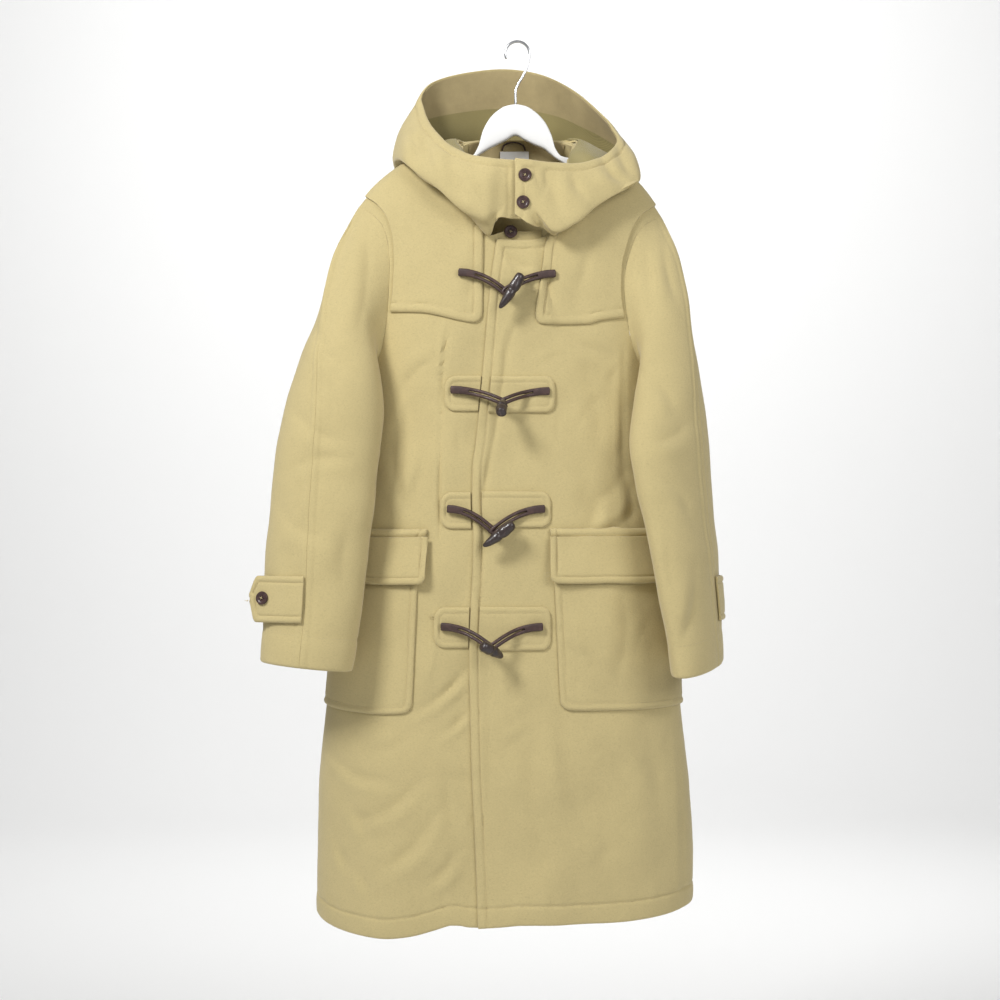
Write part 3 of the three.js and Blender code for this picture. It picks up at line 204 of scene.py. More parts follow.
# Heights over x, and the right front's edge over the height
ridge = line_of(
    (-224, -233), (-200, -205), (-170, -180), (-140, -163), (-100, -150), (-80, -143), (-60, -118), (-30, -86),
    (0, -76), (30, -86), (60, -118), (80, -144), (100, -154), (140, -174), (170, -200), (190, -226), (206, -250),
)
hem = line_of(
    (-282, -1210), (-262, -1221), (-222, -1229), (-175, -1232), (-113, -1219), (-86, -1212), (-53, -1216),
    (6, -1211), (68, -1212), (170, -1208), (210, -1204), (246, -1196),
)
front_edge = line_of(
    (-283, -28), (-338, -36), (-440, -45), (-540, -54), (-620, -62), (-703, -60), (-840, -65), (-1000, -62),
    (-1105, -57), (-1218, -53),
)
neck_front = line_of((0, -284), (30, -282), (46, -268), (60, -238), (71, -200), (78, -165), (80, -143.5))
neck_back = line_of((0, -131), (34, -131), (56, -134), (70, -138), (80, -143.5))
NECK_X = 80.0
UNDER_RISE = 12.0  # how far the left front's neck line rises beneath the right one
UNDER_RISE_X = (-40.0, -14.0)

# Edges of the armholes in x and z, from the underarm up to the shoulder
ARMHOLE = {
    "left": np.array([
        (-215, -476), (-202, -464), (-188, -434), (-180, -392), (-177, -352), (-176, -320), (-178, -289),
        (-186, -261), (-202, -242), (-222, -231)], float),
    "right": np.array([
        (194, -476), (178, -464), (161, -434), (151, -392), (147, -352), (149, -322), (156, -296), (166, -272),
        (180, -256), (202, -244)], float),
}
BACK_WIDER = 9.0  # how much wider the back is at the armholes

# Large folds of the solids: side, line from x0, z0 to x1, z1, width and depth
LARGE_FOLDS = np.array([
    (-1, -190, -1250, -160, -1010, 62, 11),
    (-1, -110, -940, -60, -1130, 44, -5),
    (-1, 30, -1240, 64, -930, 50, 6),
    (-1, 150, -1230, 128, -980, 52, 7),
    (-1, 92, -1220, 96, -1060, 40, -6),
    (-1, 150, -700, 110, -900, 46, 6),
    (1, -150, -1240, -110, -900, 60, 11),
    (1, 10, -1240, 0, -860, 56, -10),
    (1, 140, -1240, 100, -900, 60, 11),
], float)

# Creases and soft ridges, seen from the front: side, from x0, z0 to x1, z1, bow to one side, width, depth of
# the trough, and height of the ridge that runs along it
CREASES = np.array([
    # left front, chest
    (-1, -94, -402, -104, -520, 3, 3.4, -1.9, 1.3),
    (-1, -104, -520, -106, -690, 1, 3.2, -1.6, 1.0),
    (-1, -118, -450, -156, -487, 4, 9, -1.6, 1.0),
    (-1, -168, -583, -145, -654, 5, 9, -2.0, 1.4),
    (-1, -128, -560, -150, -655, -6, 8, -1.3, 1.0),
    (-1, -162, -290, -160, -372, 3, 12, -1.8, 1.0),
    (-1, -60, -300, -66, -372, 0, 9, -0.7, 0.5),
    (-1, -150, -520, -165, -560, 3, 9, -1.2, 0.8),
    # right front, above and beside the toggles
    (-1, -18, -300, 22, -322, 6, 6, -1.6, 1.1),
    (-1, -6, -318, 18, -344, 4, 5, -1.2, 0.8),
    (-1, 36, -296, 57, -396, 5, 9, -2.4, 1.7),
    (-1, 96, -262, 84, -352, -5, 12, -1.5, 1.1),
    (-1, 64, -410, 112, -437, 5, 10, -1.6, 1.1),
    (-1, 96, -470, 112, -560, -5, 12, -1.1, 0.9),
    (-1, 147, -610, 153, -662, -6, 7, -2.6, 1.8),
    (-1, 147, -438, 145, -606, 2, 4, -2.0, 1.2),
    (-1, 153, -660, 114, -680, -6, 7, -2.2, 1.6),
    (-1, 92, -682, 108, -640, 5, 8, -2.0, 1.4),
    (-1, 108, -640, 138, -612, 5, 9, -1.4, 1.0),
    (-1, 40, -520, 52, -600, 3, 14, -0.8, 0.6),
    # soft valley behind the right front's edge
    (-1, -4, -405, -17, -464, 3, 6, -1.7, 0.9),
    (-1, -17, -464, -29, -545, 1, 6, -1.9, 1.0),
    (-1, -29, -545, -46, -638, 1, 6, -1.9, 1.0),
    (-1, -46, -638, -51, -755, -2, 6, -1.7, 0.9),
    (-1, -51, -755, -46, -800, 2, 6, -1.0, 0.5),
    (-1, -42, -880, -38, -1060, -2, 9, -0.9, 0.6),
    # right pocket and skirt
    (-1, 77, -800, 92, -850, 5, 10, 1.6, -0.8),
    (-1, 140, -780, 136, -870, -7, 12, -2.0, 1.2),
    (-1, 60, -930, 84, -1060, 6, 12, -1.8, 1.3),
    (-1, 97, -930, 184, -1038, -10, 14, 2.0, -1.2),
    (-1, 20, -960, 34, -1120, 6, 16, -1.4, 1.0),
    (-1, 176, -960, 196, -1120, -6, 15, -1.7, 1.2),
    (-1, 217, -925, 226, -1200, -4, 3.6, -1.4, 1.1),
    (-1, 120, -1080, 132, -1180, 4, 14, -1.3, 0.9),
    # left pocket and skirt
    (-1, -112, -800, -126, -890, -5, 8, 1.6, -1.0),
    (-1, -136, -926, -74, -874, 5, 6, -2.5, 1.8),
    (-1, -104, -956, -70, -929, 3, 5, -1.8, 1.3),
    (-1, -250, -996, -182, -1020, 8, 8, -2.8, 2.2),
    (-1, -212, -1074, -140, -1026, 9, 8, -3.0, 2.3),
    (-1, -182, -1138, -116, -1070, 9, 9, -2.9, 2.1),
    (-1, -248, -1106, -228, -1146, 3, 6, -2.4, 1.7),
    (-1, -216, -1146, -200, -1170, 2, 6, -2.2, 1.6),
    (-1, -236, -1052, -204, -1100, -5, 8, -1.9, 1.5),
    (-1, -128, -1160, -84, -1116, 6, 8, -1.9, 1.4),
    (-1, -232, -930, -176, -950, -5, 9, -1.5, 1.1),
    (-1, -96, -1000, -82, -1110, 4, 12, -1.2, 0.9),
    (-1, -65, -1062, -60, -1078, 0, 4, -1.6, 0.8),
    (-1, -150, -960, -196, -985, -5, 10, -1.2, 0.9),
    # back, above the waist and in the skirt
    (1, -120, -440, -40, -470, 9, 14, -1.9, 1.3),
    (1, 118, -430, 36, -478, -9, 13, -2.1, 1.4),
    (1, -150, -520, -70, -575, 8, 12, -1.7, 1.2),
    (1, 140, -545, 62, -590, -8, 12, -1.8, 1.3),
    (1, -100, -650, -30, -668, 7, 14, -1.5, 1.0),
    (1, 96, -676, 20, -700, -6, 13, -1.4, 1.0),
    (1, -170, -760, -130, -900, 8, 15, -1.8, 1.3),
    (1, 158, -770, 132, -930, -8, 16, -1.9, 1.3),
    (1, -60, -800, -52, -980, 5, 15, -1.5, 1.1),
    (1, 60, -830, 70, -1010, -5, 15, -1.5, 1.1),
    (1, -190, -1000, -168, -1180, 6, 14, -1.6, 1.1),
    (1, 186, -1010, 172, -1190, -6, 15, -1.7, 1.2),
    (1, -20, -1040, -12, -1190, 4, 13, -1.3, 0.9),
    (1, -150, -300, -138, -420, 4, 15, -1.5, 1.0),
    (1, 130, -310, 122, -425, -4, 15, -1.5, 1.0),
], float)
CREASE_DEPTH = 2.3  # strength of every crease in the tables


def from_line(x, z, x0, z0, x1, z1, bow=0.0):
    """Share of the way along a bowed line, the signed distance from it, and the distance past its ends."""
    dx, dz = x1 - x0, z1 - z0
    long = math.hypot(dx, dz)
    raw = ((x - x0) * dx + (z - z0) * dz) / long ** 2
    share = np.clip(raw, 0, 1)
    side = ((x - x0) * dz - (z - z0) * dx) / long - bow * 4 * share * (1 - share)
    past = (raw - share) * long
    return share, side, past


def large_folds(side, x, z):
    total = np.zeros_like(x)
    for which, x0, z0, x1, z1, wide, deep in LARGE_FOLDS:
        if which == side:
            share, off, past = from_line(x, z, x0, z0, x1, z1)
            total += deep * bell(np.hypot(off, past) / wide) * (1 - 0.55 * share)
    return total


def waves(x, z, amount=0.75):
    """Gentle unevenness of heavy cloth: a few slow waves whose directions don't line up."""
    total = np.zeros_like(x)
    for across, down, start, high in (
            (0.051, 0.013, 0.3, 1.0), (-0.022, 0.037, 1.9, 0.9), (0.033, -0.045, 4.2, 0.7),
            (0.087, 0.031, 2.6, 0.45), (-0.071, 0.066, 5.1, 0.4), (0.012, 0.092, 0.9, 0.35)):
        total += high * np.sin(across * x + down * z + start)
    return amount * total


def creases(table, side, x, z):
    """Sum of troughs with a lower ridge beside each, that fade at both ends of their lines."""
    total = np.zeros_like(x)
    for which, x0, z0, x1, z1, bow, wide, deep, lip in table:
        if which != side:
            continue
        share, off, past = from_line(x, z, x0, z0, x1, z1, bow)
        fade = (0.3 + 0.7 * np.sin(np.pi * np.clip(share, 0.03, 0.97))) * bell(past / (1.6 * wide))
        fade = fade * (0.8 + 0.2 * np.sin(7 * share + x0))
        trough = 0.6 * bell(off / (0.6 * wide)) + 0.4 * bell(off / (1.4 * wide))
        total += fade * (deep * trough + lip * bell((off - 1.7 * wide) / (1.1 * wide)))
    return CREASE_DEPTH * total


def small_dents():
    """Short faint creases scattered over the cloth, the same each time."""
    pick = np.random.default_rng(12)
    rows = []
    for side in (-1, 1):
        for _ in range(44):
            x, z = pick.uniform(-250, 225), pick.uniform(-1180, -430)
            long, lean = pick.uniform(26, 80), pick.normal(0.9, 0.55) * pick.choice((-1, 1))
            rows.append((side, x, z, x + long * math.sin(lean), z - long * math.cos(lean), pick.uniform(-7, 7),
                         pick.uniform(5, 10), -pick.uniform(0.3, 0.75), pick.uniform(0.2, 0.55)))
    return np.array(rows)


DENTS = small_dents()


def body_point(side, x, z, inward=0.0, fine=True):
    """Outer surface of the body: a rounded section at each height whose depth shrinks towards the shoulder
    line, with the folds added."""
    left, right = section["left"](z), section["right"](z)
    across = np.clip((2 * x - left - right) / (right - left), -1, 1)
    round_share = (1 - np.abs(across) ** SIDE_ROUND) ** (1 / SIDE_ROUND)
    swell = np.sqrt(1 - np.exp(-np.maximum(ridge(x) - z, 0) / RIDGE_REACH))
    full = section["front" if side < 0 else "back"](z) * round_share * swell
    folds = large_folds(side, x, z)
    if fine:
        folds = folds + creases(CREASES, side, x, z) + creases(DENTS, side, x, z) + waves(x, z)
    y = SEAM / 2 + full + folds * round_share - inward
    return np.stack([x, side * np.maximum(y, SEAM / 2), z], -1)


def front_point(hand, x, z, fine=True):
    """Outer surface of a front. The left one sinks beneath the right one where they lap."""
    sunk = LAP_STEP * ease(1 + (x - front_edge(z)) / LAP_EASE) if hand == "left" else 0.0
    return body_point(-1, x, z, sunk, fine)


# Panels: rows run from the hem to the armhole's top, and columns from the front edge to the side

ROW_Z = np.array([-1215, -1165, -1112, -1060, -1010, -966, -922, -880, -838, -796, -754, -722, -690, -640, -598,
                  -556, -515, -476], float)
ARMPIT = len(ROW_Z) - 1
YOKE_ROW = len(ROW_Z) + 2
TOP_ROW = ARMPIT + 9
FRONT_COLUMNS = 14
SHOULDER_COLUMN = 8
SIDE_TURN = 1.35
BACK_SHOULDER = 6
NECK_COLUMNS = {
    "left": np.array([34, 10, -14, -38, -54, -65, -72, -77, -80], float),
    "right": np.array([-28, 2, 28, 46, 58, 67, 73, 77.5, 80], float),
    "back": np.array([-80, -70, -50, -25, 0, 25, 50, 70, 80], float),
}
BACK_COLUMNS = 2 * BACK_SHOULDER + 8
ROUND_POWER = 0.9


def pair(x, z):
    return np.stack([x, np.broadcast_to(z, np.shape(x))], -1)


def patch(bottom, top, inner, outer):
    """Fills the space between four edges given in x and z. The bends of the lowest and highest rows fade out
    over the height."""
    v = np.linspace(0, 1, len(inner))[:, None]

    def share(row):
        return ((row[:, 0] - row[0, 0]) / (row[-1, 0] - row[0, 0]))[None]

    def bend(row):
        return (row[:, 1] - mix(row[0, 1], row[-1, 1], share(row)[0]))[None]

    across = mix(share(bottom), share(top), v)
    x = mix(inner[:, :1], outer[:, :1], across)
    z = mix(inner[:, 1:], outer[:, 1:], across) + (1 - v) ** 2 * bend(bottom) + v ** 2 * bend(top)
    return np.stack([x, z], -1)


def outer_edge(hand, side):
    x = section[hand](ROW_Z[:-1])
    z = ROW_Z[:-1].copy()
    z[0] = hem(x[0])
    arm = ARMHOLE[hand].copy()
    if side > 0:
        arm[:, 0] += np.sign(arm[:, 0]) * BACK_WIDER * np.sin(np.pi * np.arange(10) / 9)
    return np.concatenate([pair(x, z), arm])


def halves(bottom, middle, top, inner, outer):
    low = patch(bottom, middle, inner[:ARMPIT + 1], outer[:ARMPIT + 1])
    high = patch(middle, top, inner[ARMPIT:], outer[ARMPIT:])
    return np.concatenate([low, high[1:]])


def front_flat(hand):
    """Front panel's grid in x and z."""
    sign = -1 if hand == "left" else 1
    neck_x = NECK_COLUMNS[hand]

    def neck_z(x):
        rise = (x - UNDER_RISE_X[0]) / (UNDER_RISE_X[1] - UNDER_RISE_X[0]) if hand == "left" else 0.0
        return neck_front(np.abs(x)) + UNDER_RISE * ease(rise)

    heights = np.concatenate([
        ROW_Z, mix(ROW_Z[-1], neck_z(neck_x[0]), (np.arange(1, 10) / 9) ** ROUND_POWER)])
    inner = pair(front_edge(heights) + (UNDERLAP if hand == "left" else 0), heights)
    inner[0, 1] = hem(inner[0, 0])
    outer = outer_edge(hand, -1)
    shoulder = mix(sign * NECK_X, outer[-1, 0], np.arange(1, 7) / 6)
    top = np.concatenate([pair(neck_x, neck_z(neck_x)), pair(shoulder, ridge(shoulder))])
    top[-1] = outer[-1]
    inner[-1] = top[0]

    def across(start, end):
        near = start + neck_x - neck_x[0]
        turn = np.sin(np.arange(1, 7) / 6 * SIDE_TURN) / math.sin(SIDE_TURN)
        return np.concatenate([near, mix(near[-1], end, turn)])

    low = across(inner[0, 0], outer[0, 0])
    mid = across(inner[ARMPIT, 0], outer[ARMPIT, 0])
    return halves(pair(low, hem(low)), pair(mid, ROW_Z[ARMPIT]), top, inner, outer)


def back_flat():
    """Back panel's grid in x and z."""
    left, right = outer_edge("left", 1), outer_edge("right", 1)
    steps = np.arange(6) / 6
    one = mix(left[-1, 0], -NECK_X, steps)
    two = mix(right[-1, 0], NECK_X, steps)[::-1]
    neck = NECK_COLUMNS["back"]
    top = np.concatenate([pair(one, ridge(one)), pair(neck, neck_back(np.abs(neck))), pair(two, ridge(two))])
    top[0], top[-1] = left[-1], right[-1]
    turn = 0.5 + 0.5 * np.sin(np.linspace(-SIDE_TURN, SIDE_TURN, BACK_COLUMNS + 1)) / math.sin(SIDE_TURN)
    low = mix(left[0, 0], right[0, 0], turn)
    mid = mix(left[ARMPIT, 0], right[ARMPIT, 0], turn)
    return halves(pair(low, hem(low)), pair(mid, ROW_Z[ARMPIT]), top, left, right)


FLAT = {"left": front_flat("left"), "right": front_flat("right"), "back": back_flat()}


def read_flat(panel, rows, columns):
    """Reads a panel's flat grid at finer places, as two parts that meet at the underarm."""
    flat = FLAT[panel]
    low = steady(steady(flat[:ARMPIT + 1], rows[rows <= ARMPIT], 0), columns, 1)
    high = steady(steady(flat[ARMPIT:], rows[rows > ARMPIT] - ARMPIT, 0), columns, 1)
    return np.concatenate([low, high])


def panel_point(panel, x, z, fine=True):
    return body_point(1, x, z, 0.0, fine) if panel == "back" else front_point(panel, x, z, fine)


def panel_side(panel):
    return 1 if panel == "back" else -1


def keep_side(points, side):
    points[..., 1] = side * np.maximum(side * points[..., 1], SEAM / 2)
    return points


# Meshes

SHARP_ANGLE = math.radians(48)


def smooth_object(name, points, faces, look):
    mesh = bpy.data.meshes.new(name)
    mesh.from_pydata(points.tolist(), [], faces)
    mesh.polygons.foreach_set("use_smooth", np.ones(len(mesh.polygons), bool))
    mesh.materials.append(look)
    mesh.update()
    piece = bpy.data.objects.new(name, mesh)
    bpy.context.scene.collection.objects.link(piece)
    return piece


def mesh_object(name, points, faces, finish, node=None):
    """A piece of the coat. node names the solid that it takes the place of."""
    piece = smooth_object(name, points * MM, faces, material(finish))
    piece.data.set_sharp_from_angle(angle=SHARP_ANGLE)
    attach(piece, "root")
    if node:
        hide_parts(node)
    return piece


def grid_faces(rows, columns, start=0, around=False, flip=False):
    i = np.arange(rows - 1)[:, None]
    j = np.arange(columns if around else columns - 1)[None]
    k = (j + 1) % columns
    quads = [i * columns + j, i * columns + k, (i + 1) * columns + k, (i + 1) * columns + j]
    if flip:
        quads.reverse()
    return (start + np.stack(quads, -1).reshape(-1, 4)).tolist()


def border(rows, columns):
    """Places of a grid's edge points, once round."""
    index = np.arange(rows * columns).reshape(rows, columns)
    return np.concatenate([index[0, :-1], index[:-1, -1], index[-1, :0:-1], index[:0:-1, 0]])


ROLL = 0.9


def shell(name, outer, inner, finish="wool", replaces=True):
    """Closed wall between two grids that match, with a rounded rim: a middle line between both edges stands
    out a little. It replaces the solid whose name it has."""
    rows, columns = outer.shape[:2]
    edge = border(rows, columns)
    a = outer.reshape(-1, 3)
    b = inner.reshape(-1, 3)
    inward = np.zeros_like(outer)
    inward[:, 0] += unit(outer[:, 1] - outer[:, 0])
    inward[:, -1] += unit(outer[:, -2] - outer[:, -1])
    inward[0] += unit(outer[1] - outer[0])
    inward[-1] += unit(outer[-2] - outer[-1])
    middle = (a[edge] + b[edge]) / 2 - ROLL * min(1.0, np.linalg.norm(a[0] - b[0]) / WOOL) * \
        unit(inward.reshape(-1, 3)[edge])
    count = len(a)
    ring = 2 * count + np.arange(len(edge))
    following = np.roll(edge, -1)
    after = np.roll(ring, -1)
    wall_a = np.stack([edge, ring, after, following], -1)
    wall_b = np.stack([ring, edge + count, following + count, after], -1)
    faces = grid_faces(rows, columns) + grid_faces(rows, columns, count, flip=True)
    faces += wall_a.tolist() + wall_b.tolist()
    points = np.concatenate([a, b, middle])
    if volume_of(points, faces) < 0:
        faces = [face[::-1] for face in faces]
    return mesh_object(name, points, faces, finish, name.replace("_cloth", "") if replaces else None)


def volume_of(points, faces):
    """Six times the volume inside faces of four corners."""
    p = points[np.array(faces)]
    first = np.einsum("ij,ij->i", p[:, 0], np.cross(p[:, 1], p[:, 2]))
    second = np.einsum("ij,ij->i", p[:, 0], np.cross(p[:, 2], p[:, 3]))
    return (first + second).sum()


def body_of_rings(name, rings, finish, node=None):
    """Closed body of stacked rings, with a flat face on the first and the last."""
    rows, columns = rings.shape[:2]
    sides = grid_faces(rows, columns, around=True)
    faces = sides + [list(range(columns))[::-1], list(range((rows - 1) * columns, rows * columns))]
    points = rings.reshape(-1, 3)
    if volume_of(points, sides) < 0:
        faces = [face[::-1] for face in faces]
    return mesh_object(name, points, faces, finish, node)


STITCH_INSET = 12.0
LINE_STEP = 0.8  # distance between the points of a line along an edge
EDGE_ORDER = ("inner", "bottom", "outer", "top")


def edge_line(grid, normals, edges):
    """Points along neighbouring edges of a grid, with the cloth's direction and the way inwards at each."""
    lines = {
        "inner": (grid[::-1, 0], normals[::-1, 0], grid[::-1, 1]),
        "bottom": (grid[0], normals[0], grid[1]),
        "outer": (grid[:, -1], normals[:, -1], grid[:, -2]),
        "top": (grid[-1, ::-1], normals[-1, ::-1], grid[-2, ::-1]),
    }
    start = next((k for k in range(4) if EDGE_ORDER[k] in edges and EDGE_ORDER[k - 1] not in edges), 0)
    names = [EDGE_ORDER[(start + k) % 4] for k in range(4)]
    parts = [lines[name] for name in names if name in edges]
    line, out, within = (np.concatenate([part[k] for part in parts]) for k in range(3))
    long = lengths(line)
    keep = np.concatenate([[True], np.diff(long) > 1e-6])
    at = np.arange(0, long[-1], LINE_STEP)

    def read(values):
        return np.stack([np.interp(at, long[keep], values[keep, k]) for k in range(3)], -1)

    line, out, within = read(line), unit(read(out)), read(within)
    ahead = unit(np.gradient(line, axis=0))
    inwards = unit(np.cross(out, ahead))
    turned = np.sum(inwards * (within - line), -1, keepdims=True) < 0
    return line, out, np.where(turned, -inwards, inwards)


def distance_to(points, line, block=4000):
    """Shortest distance from each point to a line's points."""
    flat = points.reshape(-1, 3)
    square = np.sum(line ** 2, -1)
    nearest = np.concatenate([
        (np.sum(part ** 2, -1)[:, None] + square[None] - 2 * part @ line.T).min(1)
        for part in np.array_split(flat, max(1, len(flat) // block))])
    return np.sqrt(np.maximum(nearest, 0)).reshape(points.shape[:-1])


BAND_HIGH = 0.75
BAND_GROOVE = 1.25
RIM = 0.9
RIM_WIDE = 1.3


def sewn(grid, normals, edges, inset=None, rims=(), reach=None, soft=1.0):
    """Raises a padded band along some edges: a groove where it is stitched, a soft roll outside it, and a
    rounded rim. reach fades it out where it is 0, and soft is its strength."""
    inset = inset or size_of("stitch_inset")
    rise = np.zeros(grid.shape[:2])
    if edges:
        d = distance_to(grid, edge_line(grid, normals, edges)[0])
        rise += soft * BAND_HIGH * np.sin(np.pi * np.clip(d / inset, 0, 1)) ** 0.8
        rise -= soft * BAND_GROOVE * bell((d - inset) / 1.5) + RIM * bell(d / RIM_WIDE)
    if reach is not None:
        rise *= reach
    if rims:
        rise -= RIM * bell(distance_to(grid, edge_line(grid, normals, rims)[0]) / RIM_WIDE)
    return grid + normals * rise[..., None]


STITCH_LONG = 3.6
STITCH_STEP = 4.7
STITCH_HALF = 0.42
STITCH_SINK = 0.15
NEAR_BLOCK = 4_000_000  # largest number of distances worked out at once
stitch_lines = []


def add_stitches(grid, normals, edges, inset=None, trim=(0.0, 0.0)):
    """Keeps a row of stitches: the points and directions of a line at a set distance from neighbouring edges of
    a grid, round their corners too. trim is how much of its ends is left out."""
    inset = inset or size_of("stitch_inset")
    line, _, inwards = edge_line(grid, normals, edges)
    shifted = line + inwards * inset
    keep = distance_to(shifted, line) > inset - 0.45
    long = np.arange(len(line)) * LINE_STEP
    keep &= (long >= trim[0]) & (long <= long[-1] - trim[1])
    shifted = shifted[keep]
    if len(shifted) < 4:
        return
    flat, flat_out = grid.reshape(-1, 3), normals.reshape(-1, 3)
    near = np.concatenate([
        (np.sum(flat ** 2, -1)[None] - 2 * part @ flat.T).argmin(1)
        for part in np.array_split(shifted, max(1, len(shifted) * len(flat) // NEAR_BLOCK))])
    n = flat_out[near]
    stitch_lines.append((shifted - n * np.sum((shifted - flat[near]) * n, -1, keepdims=True), n))


def make_stitches(name):
    """Rows of thread: each stitch is a small six-sided grain that follows its line."""
    along_grain = np.array([0.0, 0.12, 0.5, 0.88, 1.0])
    wide = STITCH_HALF * np.array([0.25, 0.8, 1.0, 0.8, 0.25])
    points, faces = [], []
    base = np.array(grid_faces(5, 6, around=True) + [[0, 5, 4, 3], [0, 3, 2, 1], [24, 25, 26, 27], [24, 27, 28, 29]])
    count = 0
    for line, out in stitch_lines:
        long = lengths(line)
        number = int(long[-1] // STITCH_STEP)
        if number < 2:
            continue
        starts = np.arange(number) * STITCH_STEP

        def read(values, at):
            return np.stack([np.interp(at, long, values[:, k]) for k in range(3)], -1)

        a, b = read(line, starts), read(line, starts + STITCH_LONG)
        up = unit(read(out, starts + STITCH_LONG / 2))
        along = unit(b - a)
        side = unit(np.cross(up, along))
        up = np.cross(along, side)
        centre = mix(a[:, None], b[:, None], along_grain[None, :, None])
        grain = centre[:, :, None] + wide[None, :, None, None] * ring_of(circle(6), side, up)[:, None]
        grain = grain + (STITCH_HALF * 0.2 - STITCH_SINK) * up[:, None, None]
        points.append(grain.reshape(-1, 3))
        faces.append((base[None] + count + 30 * np.arange(number)[:, None, None]).reshape(-1, 4))
        count += 30 * number
    stitch_lines.clear()
    mesh_object(name, np.concatenate(points), np.concatenate(faces).tolist(), "thread")


def cloth(name, grid, normals, bands, inset=None, soft=1.0, stitches=None):
    """A sheet of wool: a grid of its outer face, and raised bands with stitches at its sewn edges."""
    outer = sewn(grid, normals, bands, inset, soft=soft)
    piece = shell(name, outer, grid - normals * size_of("wool"))
    add_stitches(outer, normals, stitches or bands, inset)
    return piece


# Finishes

class Value:
    """One output socket. Arithmetic on values adds Math nodes."""

    def __init__(self, finish, socket):
        self.finish = finish
        self.socket = socket

    def _maths(self, operation, first, second, clamp=False):
        return self.finish.node("ShaderNodeMath", {"operation": operation, "use_clamp": clamp}, {0: first, 1: second})

    def __add__(self, other):
        return self._maths("ADD", self, other)

    def __radd__(self, other):
        return self._maths("ADD", other, self)

    def __sub__(self, other):
        return self._maths("SUBTRACT", self, other)

    def __rsub__(self, other):
        return self._maths("SUBTRACT", other, self)

    def __mul__(self, other):
        return self._maths("MULTIPLY", self, other)

    def above(self, low, high):
        """Rises from 0 at low to 1 at high."""
        return self._maths("ADD", (self - low) * (1.0 / (high - low)), 0.0, clamp=True)


class Finish:
    """A material in the making."""

    def __init__(self, name, roughness, **constants):
        self.material = bpy.data.materials.new(name)
        self.material.use_nodes = True
        self.tree = self.material.node_tree
        self.shader = self.tree.nodes["Principled BSDF"]
        self.shader.inputs["Roughness"].default_value = roughness
        for key, value in constants.items():
            self.shader.inputs[key.replace("_", " ")].default_value = value

    def node(self, kind, settings=None, inputs=None, output=0):
        """Adds a node: its settings first, then the values or links of its sockets."""
        node = self.tree.nodes.new(kind)
        for key, value in (settings or {}).items():
            setattr(node, key, value)
        for key, value in (inputs or {}).items():
            if isinstance(value, Value):
                self.tree.links.new(value.socket, node.inputs[key])
            else:
                node.inputs[key].default_value = value
        return Value(self, node.outputs[output])

    def place(self, scale=(1.0, 1.0, 1.0), turn=(0.0, 0.0, 0.0)):
        spot = self.node("ShaderNodeTexCoord", output=3)
        return self.node("ShaderNodeMapping", {}, {"Vector": spot, "Scale": scale, "Rotation": turn})

    def noise(self, spot, scale, detail=2.0, roughness=0.5, distortion=0.0):
        return self.node("ShaderNodeTexNoise", {"noise_dimensions": "3D"}, {
            "Vector": spot, "Scale": scale, "Detail": detail, "Roughness": roughness, "Distortion": distortion})

    def blend(self, share, first, second):
        return self.node("ShaderNodeMix", {"data_type": "RGBA"}, {0: share, 6: first, 7: second}, output=2)

    def set(self, key, value):
        if isinstance(value, Value):
            self.tree.links.new(value.socket, self.shader.inputs[key])
        else:
            self.shader.inputs[key].default_value = value

    def relief(self, height, distance, strength=1.0):
        bump = self.node("ShaderNodeBump", {}, {"Height": height, "Distance": distance, "Strength": strength})
        self.set("Normal", bump)


def size_of(name):
    """A size of the panel in millimetres."""
    return round(getattr(bpy.context.scene.coat_sizes, name) / MM, 4)


def colour_of(name):
    return (*getattr(bpy.context.scene.coat_colours, name), 1.0)


def shade(colour, factor):
    return tuple(min(1.0, c * factor) for c in colour[:3]) + (1.0,)


FINISHES = {}


def finish(key, title, roughness, **constants):
    """Keeps a function as the one that finishes a material, from the colour of the same key."""
    def keep(build):
        FINISHES[key] = title, roughness, constants, build
        return build

    return keep


def material(key):
    """The material of a key, made when a piece first asks for it."""
    title, roughness, constants, build = FINISHES[key]
    kept = bpy.data.materials.get(title)
    if kept is None:
        f = Finish(title, roughness, **constants)
        build(f, colour_of(key))
        kept = f.material
    return kept


@finish("wool", "camel_wool", 0.94, Sheen_Weight=0.22, Sheen_Roughness=0.55)
def wool_finish(f, base):
    """Felted wool: slow mottling, short tangled fibres that lie mostly across, and a soft bloom at the edges."""
    spot = f.place()
    slow = f.noise(spot, 9.0, 3.0, 0.55)
    cloud = f.noise(spot, 48.0, 4.0, 0.6)
    fibre = f.noise(f.place(scale=(0.6, 1.0, 1.0), turn=(0.0, 0.5, 0.3)), 620.0, 5.0, 0.62, 0.7)
    hair = f.noise(f.place(scale=(1.0, 1.0, 0.22), turn=(0.0, -0.7, 0.0)), 1500.0, 2.0, 0.5)
    tone = f.blend(slow.above(0.3, 0.72), shade(base, 0.955), shade(base, 1.035))
    tone = f.blend(cloud.above(0.35, 0.7) * 0.5, tone, shade(base, 1.05))
    tone = f.blend(fibre.above(0.5, 0.74) * 0.34, tone, shade(base, 1.22))
    tone = f.blend(1.0 - fibre.above(0.27, 0.47), tone, shade(base, 0.86))
    tone = f.blend(hair.above(0.6, 0.75) * 0.3, tone, shade(base, 0.8))
    f.set("Base Color", tone)
    f.set("Roughness", 0.88 + fibre * 0.1)
    f.relief(fibre * 0.6 + cloud * 0.9 + hair * 0.25, 0.0011, 0.55)


